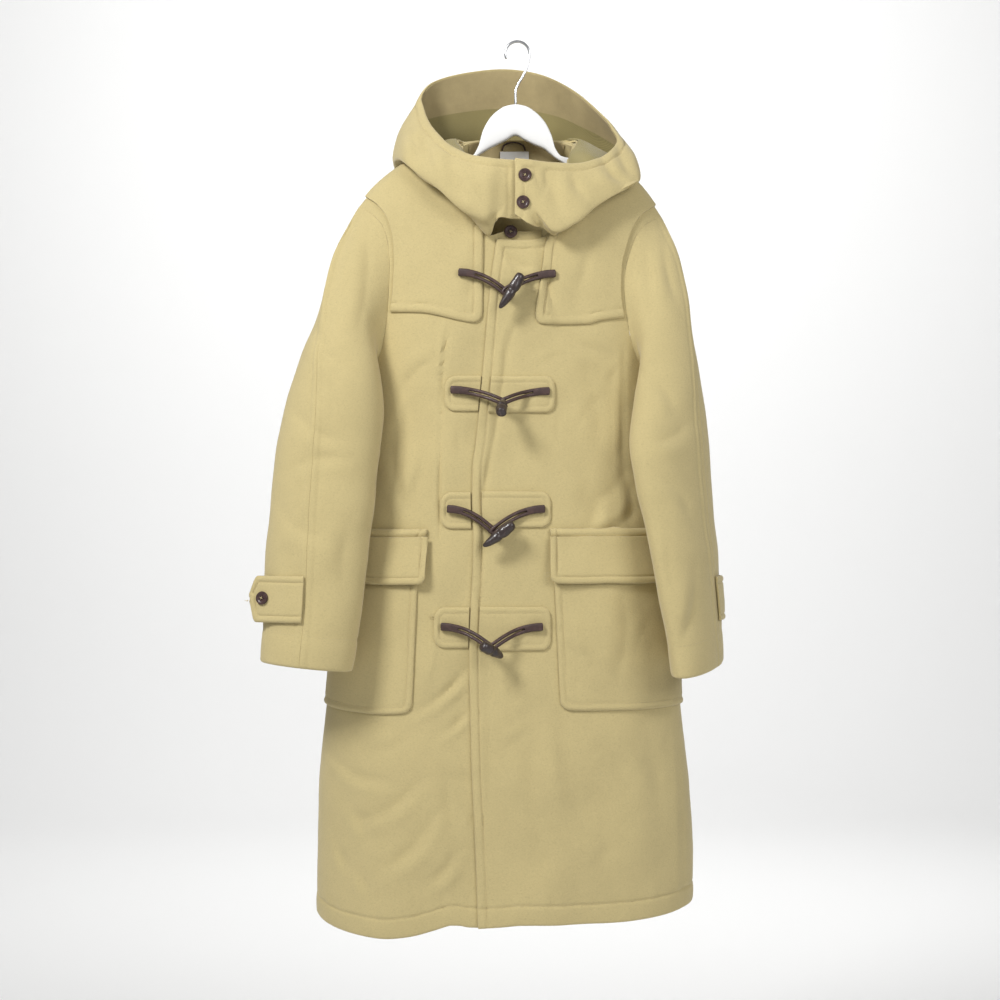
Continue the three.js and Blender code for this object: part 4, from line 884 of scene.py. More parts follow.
@finish("facing", "facing_wool_painted_shade", 0.95, Sheen_Weight=0.12)
def facing_painted_shade_finish(f, base):
    """The same wool, in its inside shade."""
    spot = f.place()
    cloud = f.noise(spot, 60.0, 4.0, 0.6)
    fibre = f.noise(spot, 700.0, 4.0, 0.6, 0.6)
    tone = f.blend(cloud.above(0.3, 0.7), shade(base, 0.93), shade(base, 1.06))
    tone = f.blend(fibre.above(0.52, 0.72) * 0.4, tone, shade(base, 1.2))
    f.set("Base Color", tone)
    f.relief(fibre * 0.6 + cloud * 0.7, 0.0009, 0.5)


@finish("lining", "olive_lining", 0.62, Sheen_Weight=0.2)
def lining_finish(f, base):
    """Olive twill: fine slanting ribs with a soft gloss."""
    spot = f.place()
    ribs = f.node("ShaderNodeTexWave", {"wave_type": "BANDS", "bands_direction": "DIAGONAL"}, {
        "Vector": spot, "Scale": 420.0, "Distortion": 0.6, "Detail": 2.0}, output=1)
    cloud = f.noise(spot, 30.0, 3.0)
    tone = f.blend(ribs, shade(base, 0.86), shade(base, 1.08))
    tone = f.blend(cloud.above(0.35, 0.65) * 0.5, tone, shade(base, 1.12))
    f.set("Base Color", tone)
    f.set("Roughness", 0.56 + cloud * 0.15)
    f.relief(ribs, 0.0003, 0.5)


@finish("leather", "cord_leather", 0.48, Coat_Weight=0.1)
def leather_finish(f, base):
    """Dark leather cord: fine creases across it, worn lighter in places."""
    spot = f.place()
    grain = f.noise(spot, 900.0, 4.0, 0.6)
    worn = f.noise(spot, 120.0, 3.0, 0.6)
    tone = f.blend(worn.above(0.45, 0.75) * 0.6, base, shade(base, 2.2))
    tone = f.blend(grain.above(0.55, 0.8) * 0.4, tone, shade(base, 0.5))
    f.set("Base Color", tone)
    f.set("Roughness", 0.4 + grain * 0.25)
    f.relief(grain, 0.0005, 0.5)


@finish("horn", "toggle_horn", 0.3, Coat_Weight=0.3)
def horn_finish(f, base):
    """Dark horn: long pale streaks under a soft polish, with a few specks."""
    streak = f.noise(f.place(scale=(1.0, 1.0, 0.35), turn=(0.0, 0.7, 0.0)), 260.0, 5.0, 0.65, 1.2)
    speck = f.noise(f.place(), 900.0, 3.0, 0.5)
    tone = f.blend(streak.above(0.52, 0.78) * 0.75, base, shade(base, 3.6))
    tone = f.blend(speck.above(0.62, 0.75) * 0.5, tone, shade(base, 5.0))
    f.set("Base Color", tone)
    f.set("Roughness", 0.26 + streak * 0.22)
    f.relief(streak + speck * 0.3, 0.0004, 0.4)


@finish("button", "coat_button", 0.35, Coat_Weight=0.15)
def button_finish(f, base):
    """Dark brown button with a cloudy, horn-like grain."""
    cloud = f.noise(f.place(), 220.0, 4.0, 0.6, 0.8)
    f.set("Base Color", f.blend(cloud.above(0.4, 0.75) * 0.7, base, shade(base, 2.6)))
    f.set("Roughness", 0.3 + cloud * 0.2)
    f.relief(cloud, 0.0002, 0.4)


@finish("thread", "camel_thread", 0.7, Sheen_Weight=0.2)
def thread_finish(f, base):
    twist = f.noise(f.place(), 1600.0, 2.0)
    f.set("Base Color", f.blend(twist.above(0.4, 0.7), shade(base, 0.9), shade(base, 1.08)))


@finish("label", "blank_label", 0.75)
def label_finish(f, base):
    """Blank woven label."""
    spot = f.place()
    ribs = f.node("ShaderNodeTexWave", {"wave_type": "BANDS", "bands_direction": "Z"}, {
        "Vector": spot, "Scale": 600.0, "Distortion": 0.3}, output=1)
    f.set("Base Color", f.blend(ribs * 0.5, base, shade(base, 0.92)))
    f.relief(ribs, 0.0002, 0.4)


@finish("hanger", "hanger_plastic", 0.36, Coat_Weight=0.1)
def plastic_finish(f, base):
    """Smooth white moulded plastic with a faint unevenness and a little dust in its gloss."""
    cloud = f.noise(f.place(), 25.0, 3.0)
    fine = f.noise(f.place(), 700.0, 3.0)
    f.set("Base Color", f.blend(cloud.above(0.35, 0.7) * 0.5, base, shade(base, 0.965)))
    f.set("Roughness", 0.3 + fine * 0.14)
    f.relief(fine + cloud, 0.0001, 0.3)


@finish("wire", "hook_wire", 0.2, Metallic=1.0)
def wire_finish(f, base):
    """Polished wire with faint drawing marks along it."""
    marks = f.noise(f.place(scale=(1.0, 1.0, 0.1)), 1800.0, 2.0)
    f.set("Base Color", f.blend(marks.above(0.4, 0.7) * 0.5, base, shade(base, 0.8)))
    f.set("Roughness", 0.16 + marks * 0.14)


# Fronts and back

PLACKET_END = 52.0  # where the band along the right front's edge ends at the neck
STITCH_END = 38.0
HEM_INSET = 26.0
FRONT_ROWS = places((0.9, 34), (ARMPIT, 128), (TOP_ROW - 0.6, 58), (TOP_ROW, 14))
FRONT_PLACES = places((1, 22), (SHOULDER_COLUMN, 46), (FRONT_COLUMNS, 34))
BACK_PLACES = places((BACK_COLUMNS, 150))


def make_fronts():
    for hand in ("left", "right"):
        flat = read_flat(hand, FRONT_ROWS, FRONT_PLACES)
        grid = front_point(hand, flat[..., 0], flat[..., 1])
        normals = normals_of(grid, (0, -1, 0))
        outer = hem_grooves(grid, flat, normals)
        if hand == "right":
            outer = sewn(outer, normals, ["top", "inner"], reach=ease((PLACKET_END - flat[..., 0]) / 12))
        outer = sewn(outer, normals, [], rims=["bottom"])
        inner = keep_side(grid - normals * size_of("wool"), -1)
        piece = shell(f"front_{hand}_cloth", keep_side(outer, -1), inner)
        add_stitches(outer, normals, ["bottom"], HEM_INSET, (6, 2))
        if hand == "right":
            line = edge_line(outer, normals, ["top", "inner"])[0]
            add_stitches(outer, normals, ["top", "inner"], trim=(LINE_STEP * int((line[:, 0] > STITCH_END).sum()), 4))


def hem_grooves(grid, flat, normals):
    """A shallow groove where the turned-up hem is sewn, and the turned part a little fuller."""
    up = from_edges(grid)["bottom"]
    rise = -1.2 * bell((up - HEM_INSET) / 2.2) + 0.7 * np.sin(np.pi * np.clip(up / HEM_INSET, 0, 1))
    x = flat[..., 0]
    rise += (0.4 * np.sin(0.21 * x + 1.0) + 0.35 * np.sin(0.34 * x + 0.05 * up)) * bell((up - HEM_INSET - 3) / 13)
    return grid + normals * rise[..., None]


def make_back():
    flat = read_flat("back", FRONT_ROWS, BACK_PLACES)
    grid = body_point(1, flat[..., 0], flat[..., 1])
    normals = normals_of(grid, (0, 1, 0))
    middle = bell((flat[..., 0] + 4) / 1.6) * ease((-300 - flat[..., 1]) / 60)
    outer = sewn(hem_grooves(grid, flat, normals) - normals * (1.2 * middle)[..., None], normals, [], rims=["bottom"])
    piece = shell("back_cloth", keep_side(outer, 1), keep_side(grid - normals * size_of("wool"), 1))
    add_stitches(outer, normals, ["bottom"], HEM_INSET, (2, 2))


# Pieces that lie on the panels

def on_panel(panel, rows, start_x, end_column, lift, u, high, corners, low_line=None):
    """A piece on a panel, from an inner edge out to a column of the panel. rows are the lowest and highest panel
    rows, start_x the inner edge's x at its bottom, near its top and at its top, and corners the radii of the
    inner edge's lower and upper corners. u and high are the piece's own places from 0 to 1, and low_line gives
    the height of its lower edge over x."""
    count = 161
    columns = np.linspace(0, FLAT[panel].shape[1] - 1, 400)
    share = np.linspace(0, 1, count)
    base = read_flat(panel, mix(rows[0], rows[1], share), columns)
    start = np.interp(share, (0, 0.9, 1), start_x)
    lines = np.zeros((count, len(u), 2))
    for k in range(count):
        order = 1 if base[k, -1, 0] > base[k, 0, 0] else -1
        first = np.interp(start[k], base[k, ::order, 0], columns[::order])
        at = mix(first, end_column, u)
        lines[k] = np.stack([np.interp(at, columns, base[k, :, 0]), np.interp(at, columns, base[k, :, 1])], -1)
    away = np.abs(lines[0, :, 0] - lines[0, 0, 0])
    low = lines[0, :, 1] if low_line is None else low_line(lines[0, :, 0])
    low = low + corner_rise(away, corners[0])
    top = lines[-1, :, 1] - corner_rise(away, corners[1])
    z = mix(low[None], top[None], high[:, None])
    x = np.stack([np.interp(z[:, j], lines[:, j, 1], lines[:, j, 0]) for j in range(len(u))], 1)
    grid = panel_point(panel, x, z)
    normals = normals_of(grid, (0, panel_side(panel), 0))
    return grid + normals * lift, normals


def corner_rise(away, radius):
    """How far an edge draws back near a rounded corner."""
    if radius <= 0:
        return np.zeros_like(away)
    near = np.clip(1 - away / radius, 0, 1)
    return radius * (1 - np.sqrt(1 - near ** 2))


def shares(near, count):
    """Places from 0 to 1 that lie closer together at the start."""
    return np.concatenate([np.linspace(0, 0.12, near, endpoint=False), np.linspace(0.12, 1, count)])


YOKE_INNER = {"right": (20, 43, 46), "left": (-48, -47, -47)}
YOKE_LOW = {
    "left": line_of((-190, -381), (-139, -383), (-100, -390), (-68, -397), (-40, -398)),
    "right": line_of((10, -399), (60, -400), (100, -399), (121, -394), (160, -389)),
}
SEWN_ON = ["inner", "bottom"]  # edges with a band and stitches, of pieces that lie on the panels


def make_yokes():
    for hand in ("right", "left"):
        grid, normals = on_panel(hand, (YOKE_ROW - 1, TOP_ROW), YOKE_INNER[hand], FRONT_COLUMNS - 0.5, LAY + WOOL,
                                 shares(18, 44), np.linspace(0, 1, 74), (15, 0), YOKE_LOW[hand])
        piece = cloth(f"yoke_front_{hand}_cloth", keep_side(grid, -1), normals, SEWN_ON)
    rows = np.linspace(YOKE_ROW, TOP_ROW, 70)
    flat = read_flat("back", rows, np.linspace(0.5, BACK_COLUMNS - 0.5, 120))
    grid = body_point(1, flat[..., 0], flat[..., 1])
    normals = normals_of(grid, (0, 1, 0))
    piece = cloth("yoke_back_cloth", keep_side(grid + normals * (LAY + WOOL), 1), normals, ["bottom"])


POCKET_ROWS = (6, 12.25)
FLAP_ROWS = (10.05, 12)
POCKET_INNER = {"right": (58, 47, 44), "left": (-143, -133, -121)}
FLAP_INNER = {"right": (44, 44, 44), "left": (-123, -121, -121)}
POCKET_RIDGE = 11.0  # width of the raised edge along a pocket's top
POCKET_INSET = 9.0
FLAP_LIFT = 2 * LAY + 2 * WOOL + 0.3


def make_pockets():
    for hand in ("right", "left"):
        grid, normals = on_panel(hand, POCKET_ROWS, POCKET_INNER[hand], FRONT_COLUMNS - 0.06, LAY + WOOL,
                                 shares(14, 46), np.linspace(0, 1, 96), (14, 3))
        down = from_edges(grid)["top"]
        ridge_rise = 2.6 * np.sin(np.pi * np.clip(down / POCKET_RIDGE, 0, 1)) ** 0.8
        grid = keep_side(grid + normals * (pocket_bulge(grid, hand) + ridge_rise)[..., None], -1)
        piece = cloth(f"pocket_{hand}_cloth", grid, normals, SEWN_ON, POCKET_INSET)
        grid, normals = on_panel(hand, FLAP_ROWS, FLAP_INNER[hand], FRONT_COLUMNS - 1.2, FLAP_LIFT,
                                 shares(14, 40), np.linspace(0, 1, 44), (11, 0))
        away = from_edges(grid)
        stand = 5.5 * ease(1 - away["bottom"] / 55) + 1.5 * ease(1 - away["inner"] / 30)
        grid = grid + normals * (stand + 0.5 * pocket_bulge(grid, hand))[..., None]
        piece = cloth(f"pocket_flap_{hand}_cloth", grid, normals, SEWN_ON, POCKET_INSET)


def pocket_bulge(grid, hand):
    """Pockets stand off a little in their middle, more on the right."""
    away = from_edges(grid)
    edge = np.minimum(away["inner"], away["bottom"])
    return (2.6 if hand == "right" else 1.6) * ease(edge / 60)


# Patches: number, side, x of the tip, lower and upper edge
PATCHES = (
    (2, "left", -98.6, -519, -471), (2, "right", 51, -521, -472),
    (3, "left", -104, -679, -630), (3, "right", 45, -677, -629),
    (4, "left", -112.6, -840, -786), (4, "right", 45, -843, -785),
)
PATCH_ROUND = 15.0
PATCH_EDGE = {"left": -2.0, "right": 13.0}
PATCH_LIFT = 0.5


def make_patches():
    for row, hand, tip, low, high in PATCHES:
        u = np.concatenate([np.linspace(0, 0.3, 16, endpoint=False), np.linspace(0.3, 1, 26)])[None]
        v = np.linspace(0, 1, 36)[:, None]
        middle = (low + high) / 2
        away = u * abs(tip - front_edge(middle))
        half = (high - low) / 2 - corner_rise(away, PATCH_ROUND)
        z = middle + (2 * v - 1) * half
        x = mix(tip, front_edge(z) + PATCH_EDGE[hand], u)
        grid = front_point(hand, x, z)
        normals = normals_of(grid, (0, -1, 0))
        piece = cloth(f"toggle_patch_{hand}_{row}_cloth", grid + normals * (PATCH_LIFT + WOOL), normals,
                      ["top", "inner", "bottom"], 8.0, 0.5)


# Sleeves

# Rings of the sleeves from the armhole down: the overarm and underarm points, half the depth, the angle of the
# seams in degrees, and how free the ring is of the armhole's shape
SLEEVE_NAMES = ("outX", "outY", "outZ", "inX", "inY", "inZ", "deep", "seam", "free")
SLEEVES = {
    "left": (
        (-248, -14, -300, -174, -60, -440, 54, 30, 0.45),
        (-282, -30, -388, -178, -82, -512, 50, 62, 0.8),
        (-310, -52, -488, -187, -86, -572, 44, 80, 1),
        (-330, -66, -592, -195, -92, -640, 42, 85, 1),
        (-339, -80, -690, -200, -98, -712, 40, 86, 1),
        (-343, -90, -770, -209, -102, -786, 38, 87, 1),
        (-346, -98, -856, -222, -106, -869, 36, 87, 1),
    ),
    "right": (
        (222, -8, -318, 148, -66, -440, 44, 25, 0.45),
        (240, -18, -410, 153, -90, -520, 38, 50, 0.8),
        (253, -28, -505, 156, -112, -585, 32, 62, 1),
        (262, -30, -600, 169, -118, -650, 31, 66, 1),
        (268, -30, -690, 183, -126, -712, 30, 70, 1),
        (274, -28, -770, 198, -132, -786, 29, 73, 1),
        (273, -26, -856, 213, -136, -876, 28, 75, 1),
    ),
}
HALF = 10  # points round each half of a ring
SLEEVE_RINGS = np.array([0, 0.3, 0.6, 1, 1.5, 2, 2.6, 3.4, 4.2, 5.1, 6])
SLEEVE_CLEAR = 9.0

# Creases of the sleeves, as on the body: the elbows bend a little, so most lie slantwise there
SLEEVE_CREASES = np.array([
    (-1, -232, -262, -252, -420, 8, 10, -1.8, 1.2),
    (-1, -206, -270, -214, -400, -5, 9, -1.6, 1.2),
    (-1, -276, -400, -222, -470, 10, 11, -2.0, 1.4),
    (-1, -300, -520, -236, -560, 9, 10, -1.9, 1.4),
    (-1, -306, -600, -228, -585, -8, 9, -1.7, 1.3),
    (-1, -250, -520, -262, -640, 6, 12, -1.5, 1.1),
    (-1, -318, -650, -262, -690, 8, 10, -1.6, 1.2),
    (-1, -222, -660, -232, -760, 5, 11, -1.4, 1.0),
    (-1, -300, -720, -290, -800, -5, 12, -1.2, 0.9),
    (-1, 205, -270, 222, -380, 6, 9, -1.6, 1.2),
    (-1, 176, -300, 178, -420, -5, 9, -1.6, 1.2),
    (-1, 166, -470, 214, -520, -8, 10, -1.9, 1.4),
    (-1, 176, -560, 226, -540, 8, 10, -1.8, 1.3),
    (-1, 190, -610, 232, -660, -7, 10, -1.6, 1.2),
    (-1, 236, -738, 216, -830, -8, 9, -2.2, 1.6),
    (-1, 200, -690, 214, -780, 5, 10, -1.3, 1.0),
    (1, -262, -300, -292, -430, 8, 12, -1.7, 1.2),
    (1, -310, -500, -250, -548, 9, 11, -1.9, 1.3),
    (1, -322, -590, -262, -610, 7, 10, -1.7, 1.2),
    (1, -300, -700, -270, -790, -6, 12, -1.4, 1.0),
    (1, 214, -320, 240, -450, -7, 11, -1.7, 1.2),
    (1, 250, -520, 210, -566, -8, 11, -1.9, 1.3),
    (1, 262, -610, 222, -632, 7, 10, -1.6, 1.2),
    (1, 262, -720, 240, -810, -6, 12, -1.4, 1.0),
], float)
CUFF_BAND = 42.0
SLEEVE_SHARE = 0.62  # strength of the sleeves' creases beside the body's


def panel_edges(hand):
    """The armhole's edge of both panels, from the underarm over the shoulder and back."""
    out = []
    for panel in (hand, "back"):
        flat = FLAT[panel]
        grid = panel_point(panel, flat[..., 0], flat[..., 1])
        last = 0 if (panel == "back" and hand == "left") else grid.shape[1] - 1
        before = 1 if last == 0 else last - 1
        rows = slice(ARMPIT, TOP_ROW + 1)
        line = grid[rows, last] + unit(grid[rows, last] - grid[rows, before]) * SEAM
        out.append(line if panel == hand else line[::-1])
    return np.concatenate(out)


def off_body(points):
    """Moves points out of the body, to the nearest side or face of it."""
    x, y, z = (points[..., k].copy() for k in range(3))
    front = body_point(-1, x, z, 0.0, False)[..., 1] - SLEEVE_CLEAR
    back = body_point(1, x, z, 0.0, False)[..., 1] + SLEEVE_CLEAR
    left = section["left"](z) - SLEEVE_CLEAR
    right = section["right"](z) + SLEEVE_CLEAR
    inside = (x > left) & (x < right) & (y > front) & (y < back)
    to_side = np.minimum(x - left, right - x)
    to_face = np.minimum(y - front, back - y)
    side = inside & (to_side < to_face)
    face = inside & ~side
    x = np.where(side, np.where(x - left < right - x, left, right), x)
    y = np.where(face, np.where(y - front < back - y, front, back), y)
    return np.stack([x, y, z], -1)


def sleeve_control(hand):
    """The sleeve's rings: they leave the armhole's shape and become slanted ovals down to the cuff."""
    rows = np.array(SLEEVES[hand])
    column = {name: smooth_line(np.arange(len(rows)), rows[:, k])(SLEEVE_RINGS)
              for k, name in enumerate(SLEEVE_NAMES)}
    high = np.stack([column["outX"], column["outY"], column["outZ"]], -1)
    low = np.stack([column["inX"], column["inY"], column["inZ"]], -1)
    centre = (high + low) / 2
    along = high - centre
    across = unit(np.stack([along[:, 1], -along[:, 0], np.zeros(len(along))], -1))
    across = np.where(across[:, 1:2] > 0, -across, across)
    share = np.arange(HALF) / (HALF - 1)
    seam = column["seam"][:, None]
    gap = np.degrees(SEAM / 2 / column["deep"])[:, None]
    angle = np.radians(np.concatenate([
        mix(seam + 180 - gap, seam + gap, share[None]), mix(seam - gap, seam - 180 + gap, share[None])], 1))
    free = centre[:, None] + along[:, None] * np.cos(angle)[..., None] + \
        across[:, None] * (column["deep"][:, None] * np.sin(angle))[..., None]
    edge = panel_edges(hand)
    away = np.array([-15 if hand == "left" else 15, -8, -16], float)
    share = column["free"][:, None, None]
    held = edge[None] + away * share * 2
    rings = off_body(mix(held, free, share))
    between = off_body(mix(edge, rings[0], 0.5))
    return np.concatenate([edge[None], between[None], rings])


def relaxed(grid, weight, rounds=130):
    """Evens out a grid. Its first and last rows stay, and its first and last columns move along their line only."""
    for _ in range(rounds):
        up_down = (grid[:-2] + grid[2:]) / 2
        mean = up_down.copy()
        mean[:, 1:-1] = (up_down[:, 1:-1] + (grid[1:-1, :-2] + grid[1:-1, 2:]) / 2) / 2
        grid = np.concatenate([grid[:1], mix(grid[1:-1], mean, weight[1:-1]), grid[-1:]])
    return grid


def make_sleeves():
    for hand in ("left", "right"):
        control = sleeve_control(hand)
        rows = places((2, 26), (11.6, 128), (12, 22))
        for half, name in ((0, "front"), (1, "back")):
            first = half * HALF
            before = control[:, (first - 2) % (2 * HALF)]
            after = control[:, (first + HALF + 1) % (2 * HALF)]
            padded = np.concatenate([before[:, None], control[:, first:first + HALF], after[:, None]], 1)
            columns = np.concatenate([np.linspace(1, 1.5, 6, endpoint=False),
                                      np.linspace(1.5, HALF - 0.5, 56, endpoint=False),
                                      np.linspace(HALF - 0.5, HALF, 7)])
            grid = finer(padded, rows, columns)
            grid = relaxed(grid, (ease(rows / 0.5) * ease((6.5 - rows) / 3))[:, None, None])
            middle = through(control.mean(1), rows)[:, None]
            normals = normals_of(grid, unit(grid - middle))
            facing = np.clip(-normals[..., 1] * 1.4, 0, 1), np.clip(normals[..., 1] * 1.4, 0, 1)
            x, z = grid[..., 0], grid[..., 2]
            rise = creases(SLEEVE_CREASES, -1, x, z) * facing[0] + creases(SLEEVE_CREASES, 1, x, z) * facing[1]
            rise *= SLEEVE_SHARE
            rise += waves(x, z, 0.7)
            rise *= ease((rows / 1.5))[:, None]
            low = from_edges(grid)["top"]
            rise += 0.5 * np.sin(np.pi * np.clip(low / CUFF_BAND, 0, 1)) - 0.9 * bell((low - CUFF_BAND) / 1.8)
            seam_edge = from_edges(grid)["outer" if half == 0 else "inner"]
            rise += 0.5 * bell((seam_edge - 5) / 3.5) - 0.6 * bell((seam_edge - 10.5) / 1.8)
            grid = grid + normals * rise[..., None]
            outer = sewn(grid, normals, [], rims=["top"])
            piece = shell(f"sleeve_{name}_{hand}_cloth", outer, grid - normals * size_of("wool"))
            add_stitches(outer, normals, ["top"], CUFF_BAND, (1, 1))


# Hood

# Sections of the hood, round from one throat tab to the other: a point of the rim, the lowest point of the
# fold, how full it is between them, the panel it is sewn to and the column of that panel at the neck. A loose
# section hangs free, on the under tab (0) or the over tab (1).
HOOD = (
    ((28, -68, -178), (30, -70, -228), 1, "loose", 0),
    ((4, -70, -177), (-4, -73, -230), 2, "loose", 0),
    ((-18, -71, -176), (-26, -77, -246), 3, "loose", 0),
    ((-38, -72, -174), (-44, -82, -256), 7, "left", 3),
    ((-68, -62, -166), (-74, -74, -246), 11, "left", 4),
    ((-94, -49, -150), (-104, -69, -220), 13, "left", 5),
    ((-110, -32, -132), (-128, -57, -201), 13, "left", 6),
    ((-123, -12, -112), (-152, -40, -178), 13, "left", 7),
    ((-132, 10, -88), (-167, -6, -165), 12, "left", 8),
    ((-136, 27, -66), (-171, 34, -174), 13, "back", 1),
    ((-120, 46, -44), (-142, 88, -250), 20, "back", 2),
    ((-75, 57, -29), (-82, 106, -318), 24, "back", 3),
    ((-15, 63, -22), (-5, 112, -338), 26, "back", 4),
    ((42, 58, -33), (74, 106, -325), 24, "back", 5),
    ((90, 42, -62), (134, 88, -264), 20, "back", 6),
    ((124, 21, -98), (166, 36, -204), 13, "back", 7),
    ((135, 8, -117), (169, 4, -184), 10, "right", 8),
    ((141, -12, -136), (167, -41, -203), 10, "right", 7),
    ((129, -34, -157), (139, -59, -220), 8, "right", 6),
    ((108, -50, -171), (109, -71, -240), 8, "right", 5),
    ((84, -61, -179), (80, -80, -264), 8, "right", 4),
    ((50, -68, -180), (48, -84, -276), 6, "right", 3),
    ((20, -78, -178), (19, -84, -240), 2, "loose", 1),
    ((-3, -79, -176), (-3, -83, -228), 1, "loose", 1),
)
HOOD_LOW = {"under": -257.0, "over": -252.0, "slope": -0.66}
HOOD_CLEAR = LAY + WOOL + 2
RIDGE_TOP = 14.0
TUCK = 11.0  # how far the hood reaches past its seam before it turns back
SHORT_TUCK = {("left", 3): 2.0, ("left", 4): 7.0}
NECK_HOLE_Z = {True: -70.0, False: -150.0}
FACING_WIDE = 55.0


def off_yoke(point):
    side = -1 if point[1] < 0 else 1
    surface = body_point(side, point[0], point[2], 0.0, False)
    top = float(ridge(point[0]))
    if point[2] > top + HOOD_CLEAR or side * (point[1] - surface[1]) > HOOD_CLEAR:
        return point
    moved = point.copy()
    if abs(point[1]) < RIDGE_TOP:
        moved[2] = top + HOOD_CLEAR
    else:
        moved[1] = surface[1] + side * HOOD_CLEAR
    return moved


def neck_edge(panel, column):
    """Point and outward direction of a panel at its neck."""
    flat = FLAT[panel]
    grid = panel_point(panel, flat[..., 0], flat[..., 1], False)
    side = panel_side(panel)
    normals = normals_of(grid, (0, side, 0))
    j = column + (BACK_SHOULDER if panel == "back" else 0)
    point, face = grid[TOP_ROW, j], normals[TOP_ROW, j].copy()
    if face[1] * side < 0:
        face = -face
    if abs(point[1]) <= SEAM / 2 + 0.01:
        face = unit(np.array([math.copysign(abs(face[0]), point[0]), 0, abs(face[2])]))
    return point, face


def hood_section(rim, fold, full, panel, neck):
    """Points that a section of the hood passes through: rim, swell, fold, beneath it, tuck and neck seam."""
    rim, fold = np.array(rim, float), np.array(fold, float)
    out = unit(np.array([fold[0], fold[1] * 1.4, 0]))
    swell = (rim + fold) / 2 + out * full
    if panel == "loose":
        low = HOOD_LOW["over"] + HOOD_LOW["slope"] * (fold[0] + 3) if neck else HOOD_LOW["under"]
        end = np.array([fold[0] - 1, fold[1] + 1, low])
        return [rim, swell, fold, mix(fold, end, 0.33), mix(fold, end, 0.66), end]
    point, face = neck_edge(panel, neck)
    seam = point + face * (LAY + WOOL + SEAM)
    outward = np.array([0, 0, NECK_HOLE_Z[panel == "back"]]) - point
    outward = unit(outward - face * outward.dot(face))
    tuck = off_yoke(seam - outward * (SHORT_TUCK.get((panel, neck), TUCK)) + face)
    under = off_yoke((off_yoke(fold) + tuck) / 2)
    return [rim, swell, fold, under, tuck, seam]


def along_section(points, at):
    """Centripetal curve through each section's points, read at places between them."""
    p = np.concatenate([2 * points[:, :1] - points[:, 1:2], points, 2 * points[:, -1:] - points[:, -2:-1]], 1)
    i = np.clip(np.floor(at).astype(int), 0, points.shape[1] - 2)
    k = np.arange(len(points))[:, None]
    a, b, c, d = (p[k, i + m] for m in range(4))
    t = (at - i)[..., None]
    ab, bc, cd = (np.maximum(np.linalg.norm(q - r, axis=-1, keepdims=True), 1e-6) ** 0.5
                  for q, r in ((b, a), (c, b), (d, c)))
    one = ((b - a) / ab - (c - a) / (ab + bc) + (c - b) / bc) * bc
    two = ((c - b) / bc - (d - b) / (bc + cd) + (d - c) / cd) * bc
    return b + t * (one + t * (3 * (c - b) - 2 * one - two + t * (2 * (b - c) + one + two)))


# Rows of the hood's grid over the facing, from there to the fold, and beneath the fold
HOOD_FACED = 30
HOOD_SWELL = 34
HOOD_UNDER = 34


def hood_surface():
    """The hood's outer face: rows from rim to neck seam, columns round the hood."""
    control = np.array([hood_section(*row) for row in HOOD])
    fine = np.linspace(0, 2, 161)
    long = lengths(along_section(control, np.broadcast_to(fine, (len(control), 161))), 1)
    at = []
    for row in long:
        edge = min(np.interp(FACING_WIDE, row, fine), 1.8)
        band = np.interp(np.linspace(0, 1, HOOD_FACED) * np.interp(edge, fine, row), row, fine)
        at.append(np.concatenate([band, np.linspace(edge, 2, HOOD_SWELL + 1)[1:],
                                  np.linspace(2, 5, HOOD_UNDER + 1)[1:]]))
    sections = along_section(control, np.array(at))
    columns = np.concatenate([np.linspace(0, 4, 40, endpoint=False), np.linspace(4, 19, 132, endpoint=False),
                              np.linspace(19, 23, 42)])
    return np.swapaxes(through(sections, columns, 0), 0, 1), columns


HOOD_CREASES = np.array([
    (-1, -128, -120, -112, -196, 6, 11, -1.9, 1.4),
    (-1, -92, -160, -60, -240, 8, 12, -1.8, 1.2),
    (-1, -150, -130, -140, -176, -4, 9, -1.6, 1.2),
    (-1, -60, -182, -32, -250, 6, 12, -1.5, 1.1),
    (-1, 30, -190, 60, -262, -6, 12, -1.4, 1.1),
    (-1, 74, -186, 100, -236, 7, 10, -1.7, 1.3),
    (-1, 116, -166, 152, -206, 7, 9, -1.9, 1.4),
    (-1, 140, -140, 160, -196, 5, 8, -1.6, 1.2),
    (1, -96, -90, -70, -260, 12, 18, -2.2, 1.5),
    (1, 92, -100, 76, -270, -12, 18, -2.2, 1.5),
    (1, -30, -120, -38, -300, 8, 16, -1.6, 1.2),
    (1, 34, -120, 30, -290, -8, 16, -1.6, 1.2),
], float)


def make_hood():
    grid, columns = hood_surface()
    middle = np.array([0.0, 15.0, -230.0])
    normals = normals_of(grid[:HOOD_FACED], unit(grid[:HOOD_FACED] - middle))
    whole = normals_of(grid, np.zeros(3))
    if np.sum(whole[:HOOD_FACED] * normals) < 0:
        whole = -whole
    normals = whole
    x, z = grid[..., 0], grid[..., 2]
    face = np.clip(-normals[..., 1] * 1.5, 0, 1), np.clip(normals[..., 1] * 1.5, 0, 1)
    rise = creases(HOOD_CREASES, -1, x, z) * face[0] + creases(HOOD_CREASES, 1, x, z) * face[1]
    rise = rise + waves(x, z, 0.35)
    seam = bell((columns - 12) / 0.05)[None] * np.ones((len(grid), 1))
    rise -= 1.1 * seam
    rise *= ease(np.arange(len(grid))[::-1] / 12)[:, None]
    grid = grid + normals * rise[..., None]
    outer = sewn(grid, normals, ["outer", "bottom", "inner"])
    inside = grid - normals * size_of("wool")
    piece = shell("hood_cloth", outer, inside)
    add_stitches(outer, normals, ["inner", "bottom", "outer"], trim=(3, 3))
    line_hood(inside, normals, columns)


